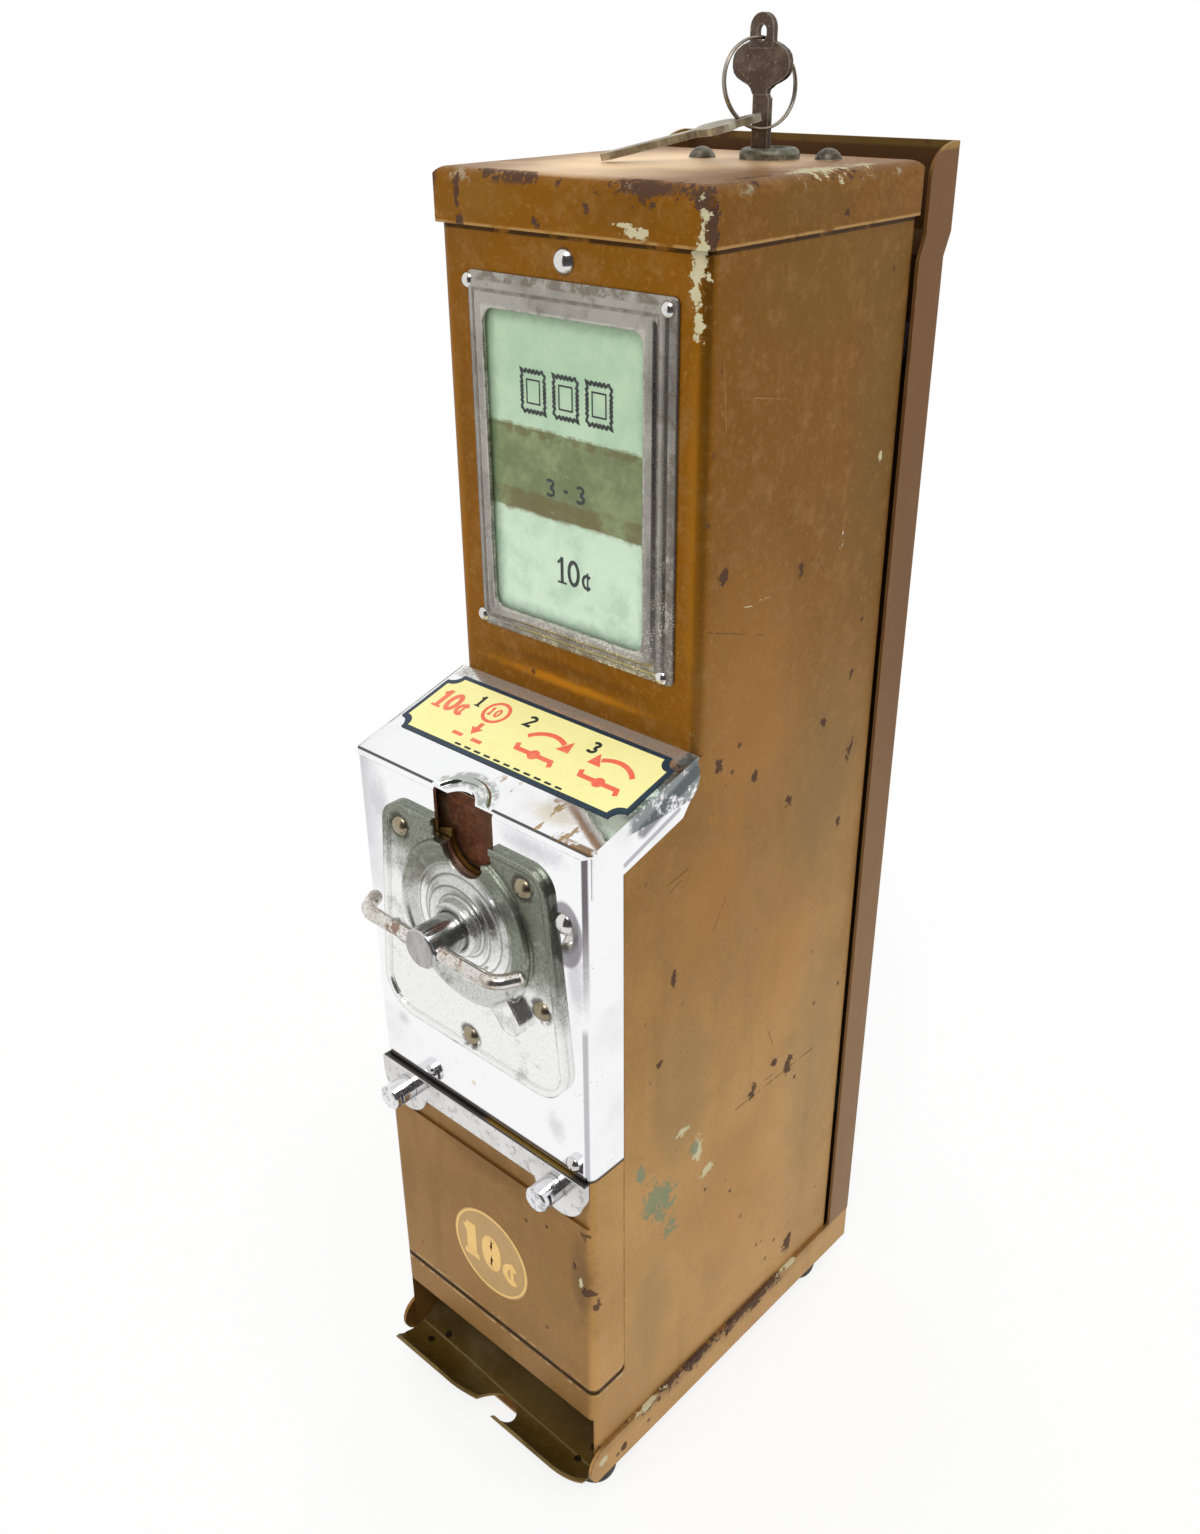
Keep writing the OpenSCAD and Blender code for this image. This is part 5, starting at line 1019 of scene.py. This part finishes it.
# rusted guide behind the coin mouth: a thin sheet whose face waves by sine across times cosine up
guide = dict(left=-17.0, right=15.0, foot=252.0, top=276.4, face=4.2, thick=0.25, wave=0.08, cols=34, rows=20)
guideX, guideZ = np.meshgrid(np.linspace(guide["left"], guide["right"], guide["cols"]),
                             np.linspace(guide["foot"], guide["top"], guide["rows"]), indexing="ij")
face = np.stack([guideX, guide["face"] + guide["wave"] * np.sin(guideX * 0.5) * np.cos(guideZ * 0.35), guideZ], -1)
leaves = [face, face + [0, guide["thick"], 0]]
rims = np.stack([np.concatenate([p[:, 0], p[-1, 1:], p[-2::-1, -1], p[0, -2:0:-1]]) for p in leaves])
makePiece("coinGuide", [*((points, gridFaces(guide["cols"], guide["rows"])) for points in leaves),
                        (rims, gridFaces(2, rims.shape[1], False, True))],
          "case", castZinc("guideMetal", "#5a3420", "#7c4c32", 0.5, 0.6))

dome = dict(radius=3.9, height=3.35, foot=-1.0, rings=12, points=32)
# a quarter ellipse turned about each rivet's line, from its foot to its crown
lift = np.linspace(0, math.pi / 2, dome["rings"])
out = np.concatenate([[dome["foot"]], dome["height"] * np.sin(lift)])[:, None]
wide = np.concatenate([[dome["radius"]], dome["radius"] * np.cos(lift)])[:, None]
turns = np.linspace(0, 2 * math.pi, dome["points"], endpoint=False)[None]
domeFaces = gridFaces(dome["rings"] + 1, dome["points"], False, True) + [list(range(dome["points"]))]
makePiece("rivetDomes", [
    (np.stack([x + wide * np.cos(turns), -out + 0 * turns, z + wide * np.sin(turns)], -1), domeFaces)
    for x, z in casting["rivets"]], "case", rivetNickel)
print("guide and rivets made")

view = dict(azimuth=42.70, elevation=27.895, roll=-0.59, focal=1386.3, tall=1534, sensor=36,
            at=(277.2, -238.9, 480.2))
azimuth, elevation, roll = (math.radians(view[key]) for key in ("azimuth", "elevation", "roll"))
# back points from the machine to the camera; right and up are then turned about it by the roll
back = np.array([math.sin(azimuth) * math.cos(elevation), -math.cos(azimuth) * math.cos(elevation),
                 math.sin(elevation)])
right = np.cross(-back, [0, 0, 1])
right /= np.linalg.norm(right)
up = np.cross(right, -back)
right, up = right * math.cos(roll) + up * math.sin(roll), up * math.cos(roll) - right * math.sin(roll)
pose = np.eye(4)
pose[:3, :3] = np.stack([right, up, back], 1)
pose[:3, 3] = np.array(view["at"]) * mm + [0, frontY, 0]
camera = addPiece("camera", bpy.data.cameras.new("camera"))
camera.data.sensor_width = view["sensor"]
camera.data.lens = view["focal"] / view["tall"] * view["sensor"]
camera.data.clip_start, camera.data.clip_end = 0.01, 60
camera.matrix_world = Matrix(pose.tolist())
bpy.context.scene.camera = camera

studio = dict(floorColour="#f2f2f2", floorGlow=0.8, floorReach=12.0, worldLight=0.78, sunPower=1.35, sunWidth=28.0,
              sunFrom=(0.45, -0.62, 1.1))
plainWhite = (1, 1, 1, 1)


def seenOnly(tree):
    # 1 for rays from the camera, off gloss and through glass, and 0 for the rays that light the object
    rays = tree.nodes.new("ShaderNodeLightPath")
    seen = rays.outputs["Is Camera Ray"]
    for ray in ("Is Glossy Ray", "Is Transmission Ray"):
        seen = addNode(tree, "ShaderNodeMath", {"operation": "MAXIMUM"}, {0: seen, 1: rays.outputs[ray]})
    return seen


def plainMaterial(name, colour):
    # a rough surface of one colour
    material = bpy.data.materials.new(name)
    material.use_nodes = True
    shader = material.node_tree.nodes["Principled BSDF"]
    shader.inputs["Base Color"].default_value = colour
    shader.inputs["Roughness"].default_value = 0.9
    return material, shader


world = bpy.data.worlds.new("studio")
bpy.context.scene.world = world
world.use_nodes = True
sky = world.node_tree
light, white = (addNode(sky, "ShaderNodeBackground", None, {0: plainWhite, 1: power})
                for power in (studio["worldLight"], 1.0))
plug(sky, sky.nodes["World Output"].inputs[0],
     addNode(sky, "ShaderNodeMixShader", None, {0: seenOnly(sky), 1: light, 2: white}))

reach = studio["floorReach"]
floorMesh = bpy.data.meshes.new("floor")
floorMesh.from_pydata([(-reach, -reach, 0), (reach, -reach, 0), (reach, reach, 0), (-reach, reach, 0)], [],
                      [(0, 1, 2, 3)])
floorPaint, ground = plainMaterial("floorPaint", linear(studio["floorColour"]))
ground.inputs["Specular IOR Level"].default_value = 0.0
tree = floorPaint.node_tree
glow = addNode(tree, "ShaderNodeEmission", None, {0: plainWhite})
glowing = addNode(tree, "ShaderNodeMath", {"operation": "MULTIPLY"}, {0: seenOnly(tree), 1: studio["floorGlow"]})
plug(tree, tree.nodes["Material Output"].inputs[0],
     addNode(tree, "ShaderNodeMixShader", None, {0: glowing, 1: ground.outputs[0], 2: glow}))
floorMesh.materials.append(floorPaint)
addPiece("floor", floorMesh)

lamp = addPiece("softLamp", bpy.data.lights.new("softLamp", "SUN"))
lamp.data.energy = studio["sunPower"]
lamp.data.angle = math.radians(studio["sunWidth"])
lamp.rotation_euler = Vector(studio["sunFrom"]).to_track_quat("Z", "Y").to_euler()

# the dark room on the camera's side, which only gloss sees: a wall and the floor before it
room = dict(azimuth=44.0, spread=44.0, near=620.0, far=1900.0, foot=3.0, top=2300.0, steps=13,
            colour=(0.045, 0.04, 0.045, 1))
turns = np.radians(np.linspace(-room["spread"], room["spread"], room["steps"]) + room["azimuth"])
# each row of points is an arc about the machine: distance times sine and minus cosine, at its height
roomPoints = np.concatenate([np.stack([np.sin(turns) * distance, -np.cos(turns) * distance, 0 * turns + height], 1)
                             for distance, height in ((room["near"], room["foot"]), (room["far"], room["foot"]),
                                                      (room["far"], room["top"]))]) * mm
roomMesh = bpy.data.meshes.new("darkRoom")
roomMesh.from_pydata(roomPoints.tolist(), [], gridFaces(3, room["steps"]))
roomMesh.materials.append(plainMaterial("darkRoom", room["colour"])[0])
darkRoom = addPiece("darkRoom", roomMesh)
for way in ("camera", "diffuse", "shadow", "transmission"):
    setattr(darkRoom, "visible_" + way, False)

bpy.context.scene.view_settings.view_transform = "Standard"
print("studio made")
